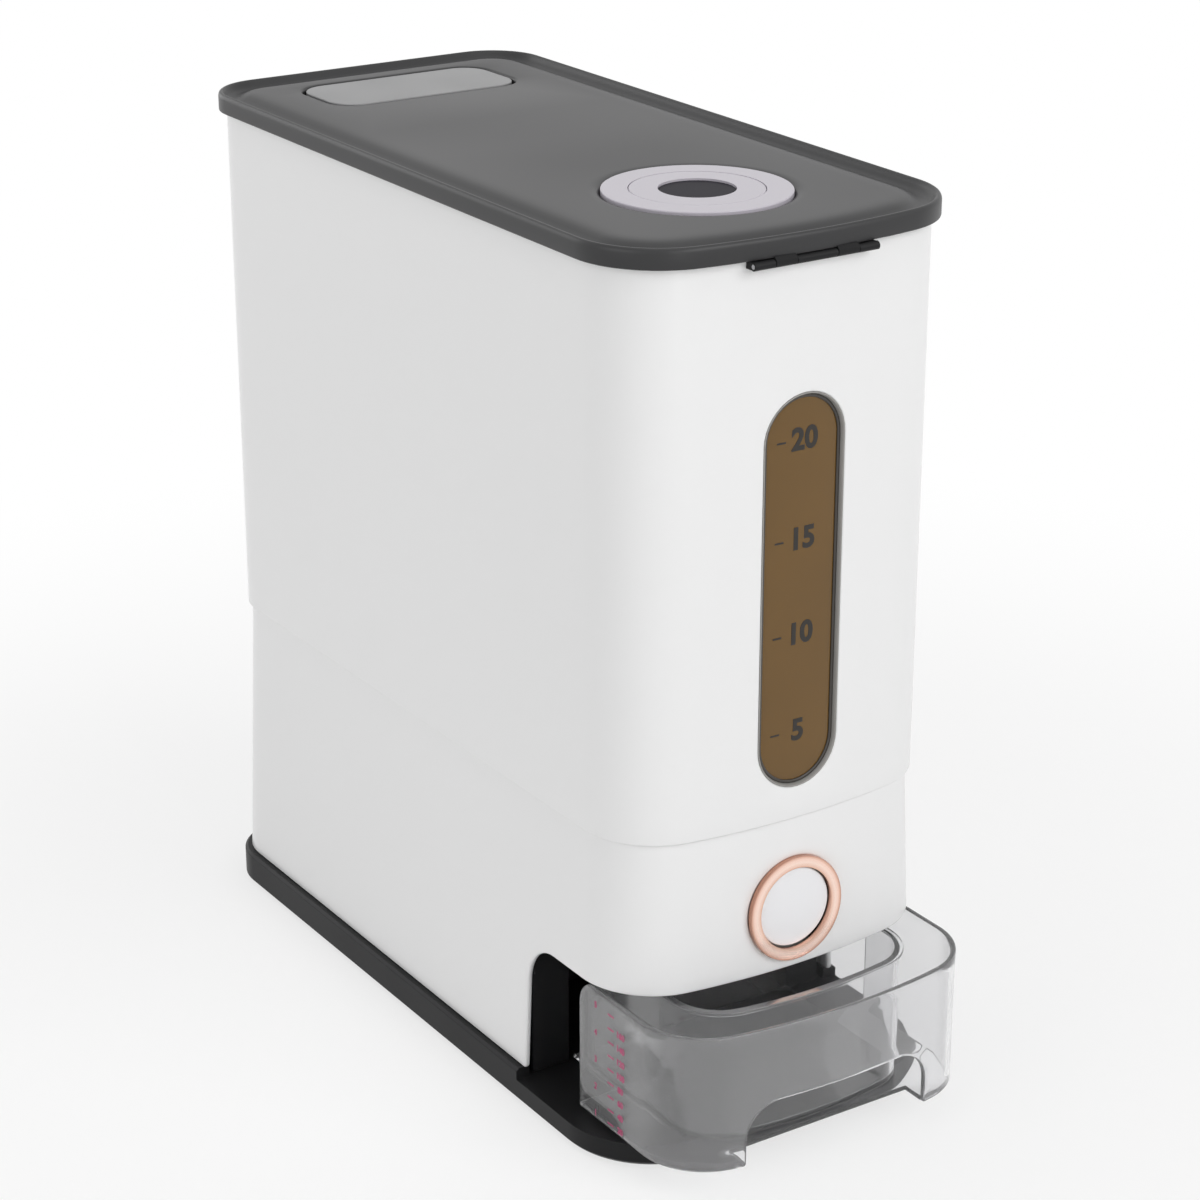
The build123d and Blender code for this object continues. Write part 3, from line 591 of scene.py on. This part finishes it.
# ------------------------------------------------------------------ lower housing
housing_foot_growth = housing_high.x - body_half
housing_top_inset = 2.1 * mm
housing_wall = 3.0 * mm
housing_edge = 1.2 * mm
housing_fill_step = 7 * mm
cutout_top = 82.2 * mm
cutout_depth = 83.0 * mm
cutout_radius = 20.0 * mm
cutout_foot_round = 1.5 * mm
cutout_step = 5 * mm
cutout_margin = 1.5 * mm
ring_overlap = 0.6 * mm
ring_radius = (ring_high.x - ring_low.x) / 2
ring_height = (ring_high.z + ring_low.z) / 2


def housing_growth(z):
    """How far the housing stands outside the bin's outline."""
    share = (housing_high.z - z) / (housing_high.z - housing_low.z)
    return share * (housing_foot_growth + housing_top_inset) - housing_top_inset


def housing_place(run, z, inset):
    """A point of the housing's wall."""
    return (*body_plan.at(run, housing_growth(z) - inset), z)


def run_at_depth(depth):
    """The run along the straight side that lies this far behind the front."""
    corner_run = sum(body_plan.lengths[:2])
    corner_y = body_plan.at(corner_run)[1]
    return corner_run + (body_front + depth) - corner_y


def make_housing():
    """The lower housing's wall with the drawer's cut-out and the button's hole."""
    runs = body_plan.runs(side_step, corner_step)
    side_run = run_at_depth(cutout_depth)
    low = housing_low.z
    left_arc = arc((-side_run + cutout_radius, cutout_top - cutout_radius), cutout_radius,
                   180, 90, 14)
    right_arc = [(-a, b) for a, b in reversed(left_arc)]
    left_foot = arc((-side_run - cutout_foot_round, low + cutout_foot_round), cutout_foot_round,
                    -90, 0, 5)
    right_foot = [(-a, b) for a, b in reversed(left_foot)]
    across = [(run, cutout_top) for run in runs
              if abs(run) < side_run - cutout_radius - cutout_margin]
    bottom = [(run, low) for run in runs if run < left_foot[0][0] - mm]
    bottom += left_foot
    bottom += straight(left_foot[-1], left_arc[0], cutout_step)[1:]
    bottom += left_arc + across + right_arc
    bottom += straight(right_arc[-1], right_foot[0], cutout_step)[1:]
    bottom += right_foot
    bottom += [(run, low) for run in runs if run > right_foot[-1][0] + mm]
    top = [(run, housing_high.z) for run in reversed(runs)]
    hole = circle((0.0, ring_height), ring_radius - ring_overlap, 64)[::-1]
    loops = [bottom + top, hole]
    fill = grid(loops, runs[1:-1], spaced(low, housing_high.z, housing_fill_step), fill_margin)
    mesh = bmesh.new()
    skin(mesh, [bottom, top], [hole], fill, housing_place, housing_wall, housing_edge)
    finish_mesh("housing_shell", mesh, body_white, "root", ["lower_housing"])


make_housing()


# ------------------------------------------------------------------ lid
def flat_fill(mesh, loops, z):
    """A flat skin between loops at one height."""
    points, faces = triangulate(loops, ())
    verts = [mesh.verts.new((point[0], point[1], z)) for point in points]
    for face in faces:
        mesh.faces.new([verts[index] for index in face])


def rounded_rectangle(centre, half_x, half_y, radius, count=10):
    """A closed rounded rectangle of points."""
    points = []
    corners = ((1, 1, 0), (-1, 1, 90), (-1, -1, 180), (1, -1, 270))
    for side_x, side_y, start in corners:
        middle = (centre[0] + side_x * (half_x - radius), centre[1] + side_y * (half_y - radius))
        points += arc(middle, radius, start, start + 90, count)
    return points


def at_height(points, z):
    """The points of a flat row, lifted to a height."""
    return [(x, y, z) for x, y in points]


panel_top = lid_top - 1.0 * mm
deck_bottom = lid_top - 6.2 * mm
skirt_bottom = bin_high.z - 0.7 * mm
skirt_lead = 0.4 * mm           # the skirt's inner edge is bevelled by this much
skirt_inside = 1.0 * mm         # growth of the skirt's inner face
skirt_hinge_cut = 0.5 * mm      # the skirt is shorter over the hinge
# The lip, the groove and the panel's slope, as millimetres of growth and height over the top.
lid_lip = (
    (3.2, -8.9), (3.6, -8.7), (3.75, -8.3), (3.75, -2.2), (3.6, -1.2), (3.2, -0.45), (2.6, -0.05),
    (2.0, -0.05), (1.4, -0.5), (0.7, -1.5), (-0.2, -2.7), (-1.4, -3.5), (-3.0, -3.9),
    (-4.8, -3.85), (-6.4, -3.4), (-8.0, -2.6), (-9.6, -1.85), (-11.4, -1.35), (-13.6, -1.1),
    (-16.2, -1.0), (-19.0, -1.0),
)
latch_middle = (0.0, (latch_low.y + latch_high.y) / 2)
latch_half_x = (latch_high.x - latch_low.x) / 2
latch_half_y = (latch_high.y - latch_low.y) / 2
latch_gap = 1.8 * mm
latch_corner = 13.0 * mm
# The recess's rounded edge: millimetres aside of its wall and over the panel.
recess_edge = ((1.7, 0.0), (0.8, -0.2), (0.25, -0.7), (0.0, -1.5))
pocket_wall = 2.0 * mm
pocket_corner = 1.5 * mm
pocket_bottom = deck_bottom - 9.8 * mm
dial_middle = ((dial_low.x + dial_high.x) / 2, (dial_low.y + dial_high.y) / 2)
dial_radius = (dial_high.x - dial_low.x) / 2
# The dip round the dial: millimetres aside of the dial and over the panel.
dial_dip = (
    (6.0, 0.0), (4.2, -0.1), (2.7, -0.35), (1.5, -0.85), (0.7, -1.5), (0.35, -2.2), (0.3, -3.8),
)
stem_radius = 27.3 * mm
hinge_y = body_front - 3.4 * mm
hinge_z = skirt_bottom - 1.7 * mm
hinge_barrel = 1.8 * mm
knuckle_root = 1.0 * mm         # the knuckles reach this far up into the lid
knuckle_slope = (1.45 * mm, 1.2 * mm)
knuckle_middle = 15.5 * mm
knuckle_half = 5.2 * mm
hinge_half = 31.5 * mm


def prism(mesh, outline, low, high):
    """A closed prism along X with this (y, z) outline."""
    first = [mesh.verts.new((low, y, z)) for y, z in outline]
    second = [mesh.verts.new((high, y, z)) for y, z in outline]
    strip(mesh, first, second)
    mesh.faces.new(first)
    mesh.faces.new(second)


def latch_outline(aside):
    """The recess's outline round the latch, this far aside of its wall."""
    return rounded_rectangle(latch_middle, latch_half_x + latch_gap + aside,
                             latch_half_y + latch_gap + aside, latch_corner + latch_gap + aside)


def add_skirt_and_lip(mesh):
    """The skirt and the lip; returns the outlines of the deck's underside and of the panel."""
    rows = [body_plan.row(deck_bottom, skirt_inside),
            body_plan.row(skirt_bottom + skirt_lead, skirt_inside),
            body_plan.row(skirt_bottom, skirt_inside + skirt_lead)]
    rows += [body_plan.row(lid_top + height * mm, growth * mm) for growth, height in lid_lip]
    stack(mesh, rows)
    for vert in mesh.verts:
        if abs(vert.co.x) < hinge_half and vert.co.y < body_front:
            vert.co.z = max(vert.co.z, skirt_bottom + skirt_hinge_cut)
    return [point[:2] for point in rows[0]], [point[:2] for point in rows[-1]]


def add_latch_recess(mesh):
    """The recess of the latch and the pocket under it; returns their outlines."""
    rows = [at_height(latch_outline(aside * mm), panel_top + height * mm)
            for aside, height in recess_edge]
    floor_z = pocket_bottom + pocket_wall
    stack(mesh, rows + [at_height(latch_outline(0.0), floor_z)])
    flat_fill(mesh, [latch_outline(0.0)], floor_z)
    pocket = rounded_rectangle(latch_middle, latch_half_x + latch_gap + pocket_wall,
                               latch_half_y + latch_gap + pocket_wall, pocket_corner, 4)
    stack(mesh, [at_height(pocket, deck_bottom), at_height(pocket, pocket_bottom)])
    flat_fill(mesh, [pocket], pocket_bottom)
    return latch_outline(recess_edge[0][0] * mm), pocket


def add_dial_well(mesh):
    """The dip round the dial and the hole for its stem; returns their outlines."""
    well = [at_height(circle(dial_middle, dial_radius + aside * mm), panel_top + height * mm)
            for aside, height in dial_dip]
    stem = circle(dial_middle, stem_radius)
    well.append(at_height(stem, panel_top + dial_dip[-1][1] * mm))
    well.append(at_height(stem, deck_bottom))
    stack(mesh, well)
    return circle(dial_middle, dial_radius + dial_dip[0][0] * mm), stem


def make_lid():
    """The lid with its lip, groove and panel, the latch's recess and the dial's dip."""
    mesh = bmesh.new()
    under, panel = add_skirt_and_lip(mesh)
    recess, pocket = add_latch_recess(mesh)
    dial_edge, stem = add_dial_well(mesh)
    flat_fill(mesh, [panel, dial_edge, recess], panel_top)
    flat_fill(mesh, [under, stem, pocket], deck_bottom)
    lid = finish_mesh("lid_cover", mesh, lid_charcoal, "lid", ["lid_shell"])
    sharpen(lid, shell_sharp_degrees)


def make_knuckles():
    """The lid's two hinge knuckles round the pin."""
    mesh = bmesh.new()
    for side in (-1, 1):
        barrel = arc((hinge_y, hinge_z), hinge_barrel, 180, 360, 16)
        barrel += [(hinge_y + hinge_barrel, skirt_bottom + knuckle_root),
                   (hinge_y - hinge_barrel + knuckle_slope[0], skirt_bottom + knuckle_root),
                   (hinge_y - hinge_barrel, hinge_z + knuckle_slope[1])]
        prism(mesh, barrel, side * knuckle_middle - knuckle_half,
              side * knuckle_middle + knuckle_half)
    knuckles = finish_mesh("lid_knuckles", mesh, base_black, "lid", ["lid_shell"])
    sharpen(knuckles, knuckle_sharp_degrees)


make_lid()
make_knuckles()


# ------------------------------------------------------------------ window edge
def stadium_ring(aside, inset):
    """A row of points round the window's edge, moved inwards by aside and into the wall."""
    points = stadium(window_half - aside, window_bottom + aside, window_top - aside)
    return [bin_place(run, z, inset) for run, z in points]


def make_window_edge(name, material, section):
    """A ring round the window; section is (millimetres inwards, millimetres into the wall)."""
    mesh = bmesh.new()
    rows = [stadium_ring(aside * mm, inset * mm) for aside, inset in section]
    stack(mesh, rows + rows[:1])
    finish_mesh(name, mesh, material, "root", ["window_bezel"])


make_window_edge("window_reveal", reveal_grey, (
    (0.0, 2.5), (0.0, 0.15), (0.15, 0.0), (0.45, 0.05), (0.7, 0.35), (1.15, 2.1), (1.2, 2.5)))
make_window_edge("window_gasket", bezel_dark, (
    (1.1, 2.55), (1.1, 2.0), (1.3, 1.75), (2.3, 1.85), (2.55, 2.1), (2.6, 2.55)))


# ------------------------------------------------------------------ drawer
drawer_wall = 2.2 * mm
drawer_bottom = 14.0 * mm
drawer_edge = 0.8 * mm
drawer_side_end = body_front + 47.5 * mm
drawer_corner = 32 * mm
plan_rear = drawer_side_end + 30 * mm       # the drawer's outline runs on past its sides' end
plan_rear_corner = 10 * mm
drawer_plan = Plan(drawer_high.x, drawer_low.y, plan_rear, drawer_corner, plan_rear_corner,
                   front_bow)
drawer_runs = drawer_plan.runs(5 * mm, 2.2 * mm)
drawer_fill_step = 6 * mm
drawer_fill_margin = 2.0 * mm
arch_step = 3 * mm
crown_step = 4 * mm
arch_half = 48.5 * mm
arch_top = 43.0 * mm
arch_radius = 17.0 * mm
arch_foot = 1.6 * mm
rear_round = 12.0 * mm
floor_gap = 0.04 * mm
floor_edge = 0.5 * mm
cup_clearance = 0.6 * mm
rib_middle = 53 * mm
rib_aside = 4.3 * mm
rib_half = 1.0 * mm
rib_gap = 0.02 * mm
rib_front = cup_low.y + 30 * mm
rib_rear = drawer_high.y - 2 * mm


def drawer_place(run, z, inset):
    """A point of the drawer's wall."""
    return (*drawer_plan.at(run, -inset), z)


def drawer_end_run():
    """The run at which the drawer's sides end."""
    corner_run = sum(drawer_plan.lengths[:2])
    return corner_run + drawer_side_end - drawer_plan.at(corner_run)[1]


def drawer_outline(end):
    """The drawer's wall laid out flat: the arch, the rounded rear ends and the top edge."""
    low = drawer_bottom
    high = drawer_high.z
    arch_side = arch_top - arch_radius
    left = [run for run in drawer_runs if -end + mm < run < -arch_half - arch_foot - mm]
    chain = [(-end, low)] + [(run, low) for run in left]
    chain += arc((-arch_half - arch_foot, low + arch_foot), arch_foot, -90, 0, 5)
    chain += straight((-arch_half, low + arch_foot), (-arch_half, arch_side), arch_step)[1:]
    chain += arc((-arch_half + arch_radius, arch_side), arch_radius, 180, 90, 14)
    chain += straight((-arch_half + arch_radius, arch_top), (0, arch_top), crown_step)[1:]
    chain += [(0.0, arch_top)] + [(-a, b) for a, b in reversed(chain)]
    rear_end = straight((end, low), (end, high - rear_round), drawer_fill_step)[1:]
    rear_end += arc((end - rear_round, high - rear_round), rear_round, 0, 90, 10)
    top = [(run, high) for run in reversed(drawer_runs) if abs(run) < end - rear_round - mm]
    return chain + rear_end + top + [(-a, b) for a, b in reversed(rear_end)]


def make_drawer_wall():
    """The clear front that wraps round both sides."""
    end = drawer_end_run()
    chain = drawer_outline(end)
    fill = grid([chain], [run for run in drawer_runs if abs(run) < end],
                spaced(drawer_bottom, drawer_high.z, drawer_fill_step), drawer_fill_margin)
    mesh = bmesh.new()
    skin(mesh, [chain], [], fill, drawer_place, drawer_wall, drawer_edge)
    finish_mesh("drawer_wall", mesh, clear_plastic, "drawer", ["drawer_shell"])


def floor_place(x, y, depth):
    """A point of the drawer's floor, this deep under its top."""
    return x, y, drawer_bottom + drawer_wall - depth


def make_drawer_floor():
    """The floor under the cup with its tongue to the rear and the ribs that run in the rails."""
    end = drawer_end_run()
    inset = drawer_wall + floor_gap
    tongue = cup_high.x
    right = [(arch_half, cup_low.y - cup_clearance),
             (arch_half, drawer_plan.at(arch_half, -inset)[1])]
    right += [drawer_plan.at(run, -inset) for run in drawer_runs if arch_half + mm < run < end - mm]
    right += [drawer_plan.at(end, -inset), (tongue, drawer_side_end), (tongue, drawer_high.y)]
    left = [(-x, y) for x, y in reversed(right)]
    mesh = bmesh.new()
    skin(mesh, [left + right], [], [], floor_place, drawer_wall, floor_edge)
    rib_top = drawer_bottom - rib_gap
    rib = [(rib_front, drawer_low.z), (rib_rear, drawer_low.z), (rib_rear, rib_top),
           (rib_front, rib_top)]
    for middle in (-rib_middle, rib_middle):
        for aside in (-rib_aside, rib_aside):
            prism(mesh, rib, middle + aside - rib_half, middle + aside + rib_half)
    piece = finish_mesh("drawer_floor", mesh, clear_plastic, "drawer",
                        ["drawer_shell"])
    sharpen(piece, shell_sharp_degrees)


make_drawer_wall()
make_drawer_floor()


# ------------------------------------------------------------------ springs
button_wire = 0.5 * mm
latch_wire = 0.35 * mm
button_turns = 8
latch_turns = 6
coil_steps = 20
wire_sides = 8
along_x = Vector((1, 0, 0))
along_y = Vector((0, 1, 0))
along_z = Vector((0, 0, 1))


def coil(mesh, foot, axis, side, length, outer_radius, wire, turns):
    """A wound wire along an axis from its foot; side is at right angles to the axis."""
    across = axis.cross(side)
    steps = turns * coil_steps
    rows = []
    for step in range(steps + 1):
        turn = 2 * math.pi * step / coil_steps
        out = side * math.cos(turn) + across * math.sin(turn)
        along = wire + (length - 2 * wire) * step / steps
        centre = foot + axis * along + out * (outer_radius - wire)
        angles = [2 * math.pi * number / wire_sides for number in range(wire_sides)]
        rows.append([centre + (out * math.cos(a) + axis * math.sin(a)) * wire for a in angles])
    made = stack(mesh, rows)
    mesh.faces.new(made[0])
    mesh.faces.new(made[-1])


def make_button_spring():
    """The button's spring, a coil that runs towards the sleeve's rear wall."""
    low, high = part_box("button_spring")
    length = high.y - low.y
    mesh = bmesh.new()
    foot = Vector((0.0, low.y, (low.z + high.z) / 2))
    coil(mesh, foot, along_y, along_x, length, high.x, button_wire, button_turns)
    spring = finish_mesh("button_coil", mesh, steel, "root", ["button_spring"])
    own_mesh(spring)


def make_latch_springs():
    """The two springs under the latch, coils between it and the pocket's floor."""
    low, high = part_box("latch_springs")
    length = high.z - low.z
    radius = (high.y - low.y) / 2
    mesh = bmesh.new()
    for side in (-1, 1):
        foot = Vector((side * (high.x - radius), (low.y + high.y) / 2, low.z))
        coil(mesh, foot, along_z, along_x, length, radius, latch_wire, latch_turns)
    springs = finish_mesh("latch_coils", mesh, steel, "lid", ["latch_springs"])
    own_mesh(springs)


make_button_spring()
make_latch_springs()


# ------------------------------------------------------------------ printed scales
print_height = 0.1 * mm


def lettering(name, body_text, size, place, material, body, weight):
    """A plain number as a thin raised print; place(u, v, lift) gives its points."""
    curve = bpy.data.curves.new(name, "FONT")
    curve.body = body_text
    curve.size = size
    curve.align_x = "CENTER"
    curve.align_y = "CENTER"
    curve.offset = weight * size
    curve.extrude = print_height / 2
    curve.resolution_u = 4
    source = bpy.data.objects.new(name, curve)
    bpy.context.scene.collection.objects.link(source)
    bpy.context.view_layer.update()
    data = bpy.data.meshes.new_from_object(source)
    bpy.data.objects.remove(source)
    for vert in data.vertices:
        vert.co = place(vert.co.x, vert.co.y, vert.co.z + print_height / 2)
    data.materials.clear()
    data.materials.append(material)
    piece = bpy.data.objects.new(name, data)
    bpy.context.scene.collection.objects.link(piece)
    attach(piece, body)


def bar(name, length, height, place, material, body):
    """A thin printed bar, centred on place(0, 0, 0)."""
    mesh = bmesh.new()
    corners = [(-length / 2, -height / 2), (length / 2, -height / 2),
               (length / 2, height / 2), (-length / 2, height / 2)]
    low = [mesh.verts.new(place(u, v, 0.0)) for u, v in corners]
    high = [mesh.verts.new(place(u, v, print_height)) for u, v in corners]
    strip(mesh, low, high)
    mesh.faces.new(low)
    mesh.faces.new(high)
    piece = finish_mesh(name, mesh, material, body)
    for face in piece.data.polygons:
        face.use_smooth = False


scale_marks = ((20, 324.2), (15, 280.5), (10, 237.9), (5, 193.4))       # number, height in mm
number_x = 1.2 * mm
number_size = 13.4 * mm
number_weight = 0.035
dash_x = -10.6 * mm
dash_length = 4.4 * mm
dash_width = 0.8 * mm


def on_pane(x, z):
    """Places a print on the outer face of the window pane, around (x, z)."""
    return lambda u, v, lift: Vector(bin_place(x + u, z + v, bin_wall - lift))


for number, height in scale_marks:
    lettering(f"scale_{number}", str(number), number_size, on_pane(number_x, height * mm),
              print_black, "root", number_weight)
    bar(f"scale_dash_{number}", dash_length, dash_width, on_pane(dash_x, height * mm),
        print_black, "root")

measure_rows = 9
measure_top = 71.0 * mm
measure_step = 6.75 * mm
measure_size = 4.2 * mm
measure_unit = 20               # the front column counts in steps of this
tick_length = 4.6 * mm
tick_width = 0.7 * mm
tick_depth = 22.0 * mm
front_column = 14.5 * mm
rear_column = 34.0 * mm
front_weight = 0.035
rear_weight = 0.02


def on_drawer_side(depth, z):
    """Places a print on the outer face of the drawer's left side, around a depth and height."""
    y = body_front + depth
    return lambda u, v, lift: Vector((drawer_low.x - lift, y - u, z + v))


for row in range(measure_rows):
    height = measure_top - row * measure_step
    bar(f"measure_tick_{row}", tick_length, tick_width, on_drawer_side(tick_depth, height),
        print_pink, "drawer")
    if row > 0:
        lettering(f"measure_front_{row}", str(measure_unit * (measure_rows - row)), measure_size,
                  on_drawer_side(front_column, height), print_pink, "drawer",
                  front_weight)
    if row % 2 == 0:
        lettering(f"measure_rear_{row}", str((measure_rows - row + 1) // 2), measure_size,
                  on_drawer_side(rear_column, height), print_pink, "drawer",
                  rear_weight)

# ------------------------------------------------------------------ softer edges of the CAD nodes
soft_edges = {                  # node and the width of its bevel in mm
    "base_tray": 0.9, "measuring_cup": 0.45, "drawer_bay": 0.5, "drawer_rails": 0.4,
    "outlet_chute": 0.3, "gate_guide": 0.3, "shutter_gate": 0.3, "hinge_bracket": 0.35,
    "desiccant_box": 0.4, "latch_hook": 0.25, "latch_strike": 0.3, "hopper_floor": 0.4,
    "button_sleeve": 0.4, "push_rod": 0.3, "lid_seal": 0.3, "latch_button": 0.3,
}
for node_name, width in soft_edges.items():
    soften(nodes[node_name], width * mm)

# ------------------------------------------------------------------ camera
camera_place = (-0.7309, -1.13325, 0.7326)
camera_turn = math.radians(33.15)
camera_dip = math.radians(21.62)
camera_lens = 93.177
sensor_width = 36.0
nearest_seen = 0.05


def make_camera():
    """The camera at the photograph's viewing angle."""
    data = bpy.data.cameras.new("camera")
    data.lens = camera_lens
    data.sensor_width = sensor_width
    data.clip_start = nearest_seen
    camera = bpy.data.objects.new("camera", data)
    bpy.context.scene.collection.objects.link(camera)
    camera.location = camera_place
    camera.rotation_mode = "XYZ"
    camera.rotation_euler = (math.pi / 2 - camera_dip, 0.0, -camera_turn)
    bpy.context.scene.camera = camera


make_camera()


# ------------------------------------------------------------------ light
light_target = Vector((0, 0, 0.2))
ambient = 0.33                  # the world's strength for soft light; 1 is seen as white


def area_light(name, place, width, height, power):
    """A soft white rectangular lamp that faces the object's middle."""
    data = bpy.data.lights.new(name, "AREA")
    data.shape = "RECTANGLE"
    data.size = width
    data.size_y = height
    data.energy = power
    lamp = bpy.data.objects.new(name, data)
    bpy.context.scene.collection.objects.link(lamp)
    lamp.location = place
    lamp.rotation_mode = "QUATERNION"
    lamp.rotation_quaternion = (light_target - Vector(place)).to_track_quat("-Z", "Y")


def seen_directly(tree):
    """1 for a ray of the camera, of a mirror or through glass, and 0 for a ray of soft light."""
    path = tree.nodes.new("ShaderNodeLightPath")
    value = path.outputs["Is Camera Ray"]
    for ray in ("Is Glossy Ray", "Is Transmission Ray"):
        larger = tree.nodes.new("ShaderNodeMath")
        larger.operation = "MAXIMUM"
        tree.links.new(value, larger.inputs[0])
        tree.links.new(path.outputs[ray], larger.inputs[1])
        value = larger.outputs["Value"]
    return value


def make_world():
    """A world that is seen as white and gives less light than that."""
    world = bpy.data.worlds.new("studio")
    bpy.context.scene.world = world
    world.use_nodes = True
    tree = world.node_tree
    background = tree.nodes["Background"]
    background.inputs["Color"].default_value = (1, 1, 1, 1)
    strength = tree.nodes.new("ShaderNodeMapRange")
    strength.inputs["To Min"].default_value = ambient
    strength.inputs["To Max"].default_value = 1.0
    tree.links.new(seen_directly(tree), strength.inputs["Value"])
    tree.links.new(strength.outputs["Result"], background.inputs["Strength"])


area_light("key", (0.7, -2.0, 1.5), 1.4, 1.4, 20.5)
area_light("strip", (-0.28, -1.7, 0.6), 0.16, 1.5, 3)
area_light("side_fill", (-2.2, -0.5, 1.1), 1.6, 1.6, 11)
area_light("top", (0.0, -0.2, 2.4), 1.8, 1.8, 7)
area_light("back_fill", (-0.9, 2.2, 0.9), 1.6, 1.4, 12)
make_world()

# ------------------------------------------------------------------ floor
floor_half = 6.0
shadow_reach = 0.22             # the floor keeps its shading up to here
white_reach = 0.8               # from here on the floor is white, as the background is
shaded_white = 0.7              # share of white where the floor keeps its shading


def floor_material():
    """A pale floor that fades to the background's white away from the object."""
    shader = Shader("pale_floor", linear(250, 250, 250), 0.8).mottle(4, 0.004)
    place = shader.node("ShaderNodeTexCoord")
    reach = shader.node("ShaderNodeVectorMath", operation="LENGTH")
    shader.link(place.outputs["Object"], reach.inputs[0])
    fade = shader.node("ShaderNodeMapRange", interpolation_type="SMOOTHSTEP")
    fade.inputs["From Min"].default_value = shadow_reach
    fade.inputs["From Max"].default_value = white_reach
    fade.inputs["To Min"].default_value = shaded_white
    shader.link(reach.outputs["Value"], fade.inputs["Value"])
    amount = shader.node("ShaderNodeMath", operation="MULTIPLY")
    shader.link(fade.outputs["Result"], amount.inputs[0])
    shader.link(seen_directly(shader.tree), amount.inputs[1])
    white = shader.node("ShaderNodeEmission")
    mix = shader.node("ShaderNodeMixShader")
    shader.link(amount.outputs["Value"], mix.inputs["Fac"])
    shader.link(shader.bsdf.outputs["BSDF"], mix.inputs[1])
    shader.link(white.outputs["Emission"], mix.inputs[2])
    shader.link(mix.outputs["Shader"], shader.tree.nodes["Material Output"].inputs["Surface"])
    return shader.material


def make_floor():
    """The plain floor that the object stands on."""
    data = bpy.data.meshes.new("floor")
    corners = [(-floor_half, -floor_half, 0), (floor_half, -floor_half, 0),
               (floor_half, floor_half, 0), (-floor_half, floor_half, 0)]
    data.from_pydata(corners, [], [(0, 1, 2, 3)])
    data.materials.append(floor_material())
    floor = bpy.data.objects.new("floor", data)
    bpy.context.scene.collection.objects.link(floor)


make_floor()
bpy.context.scene.view_settings.view_transform = "Standard"
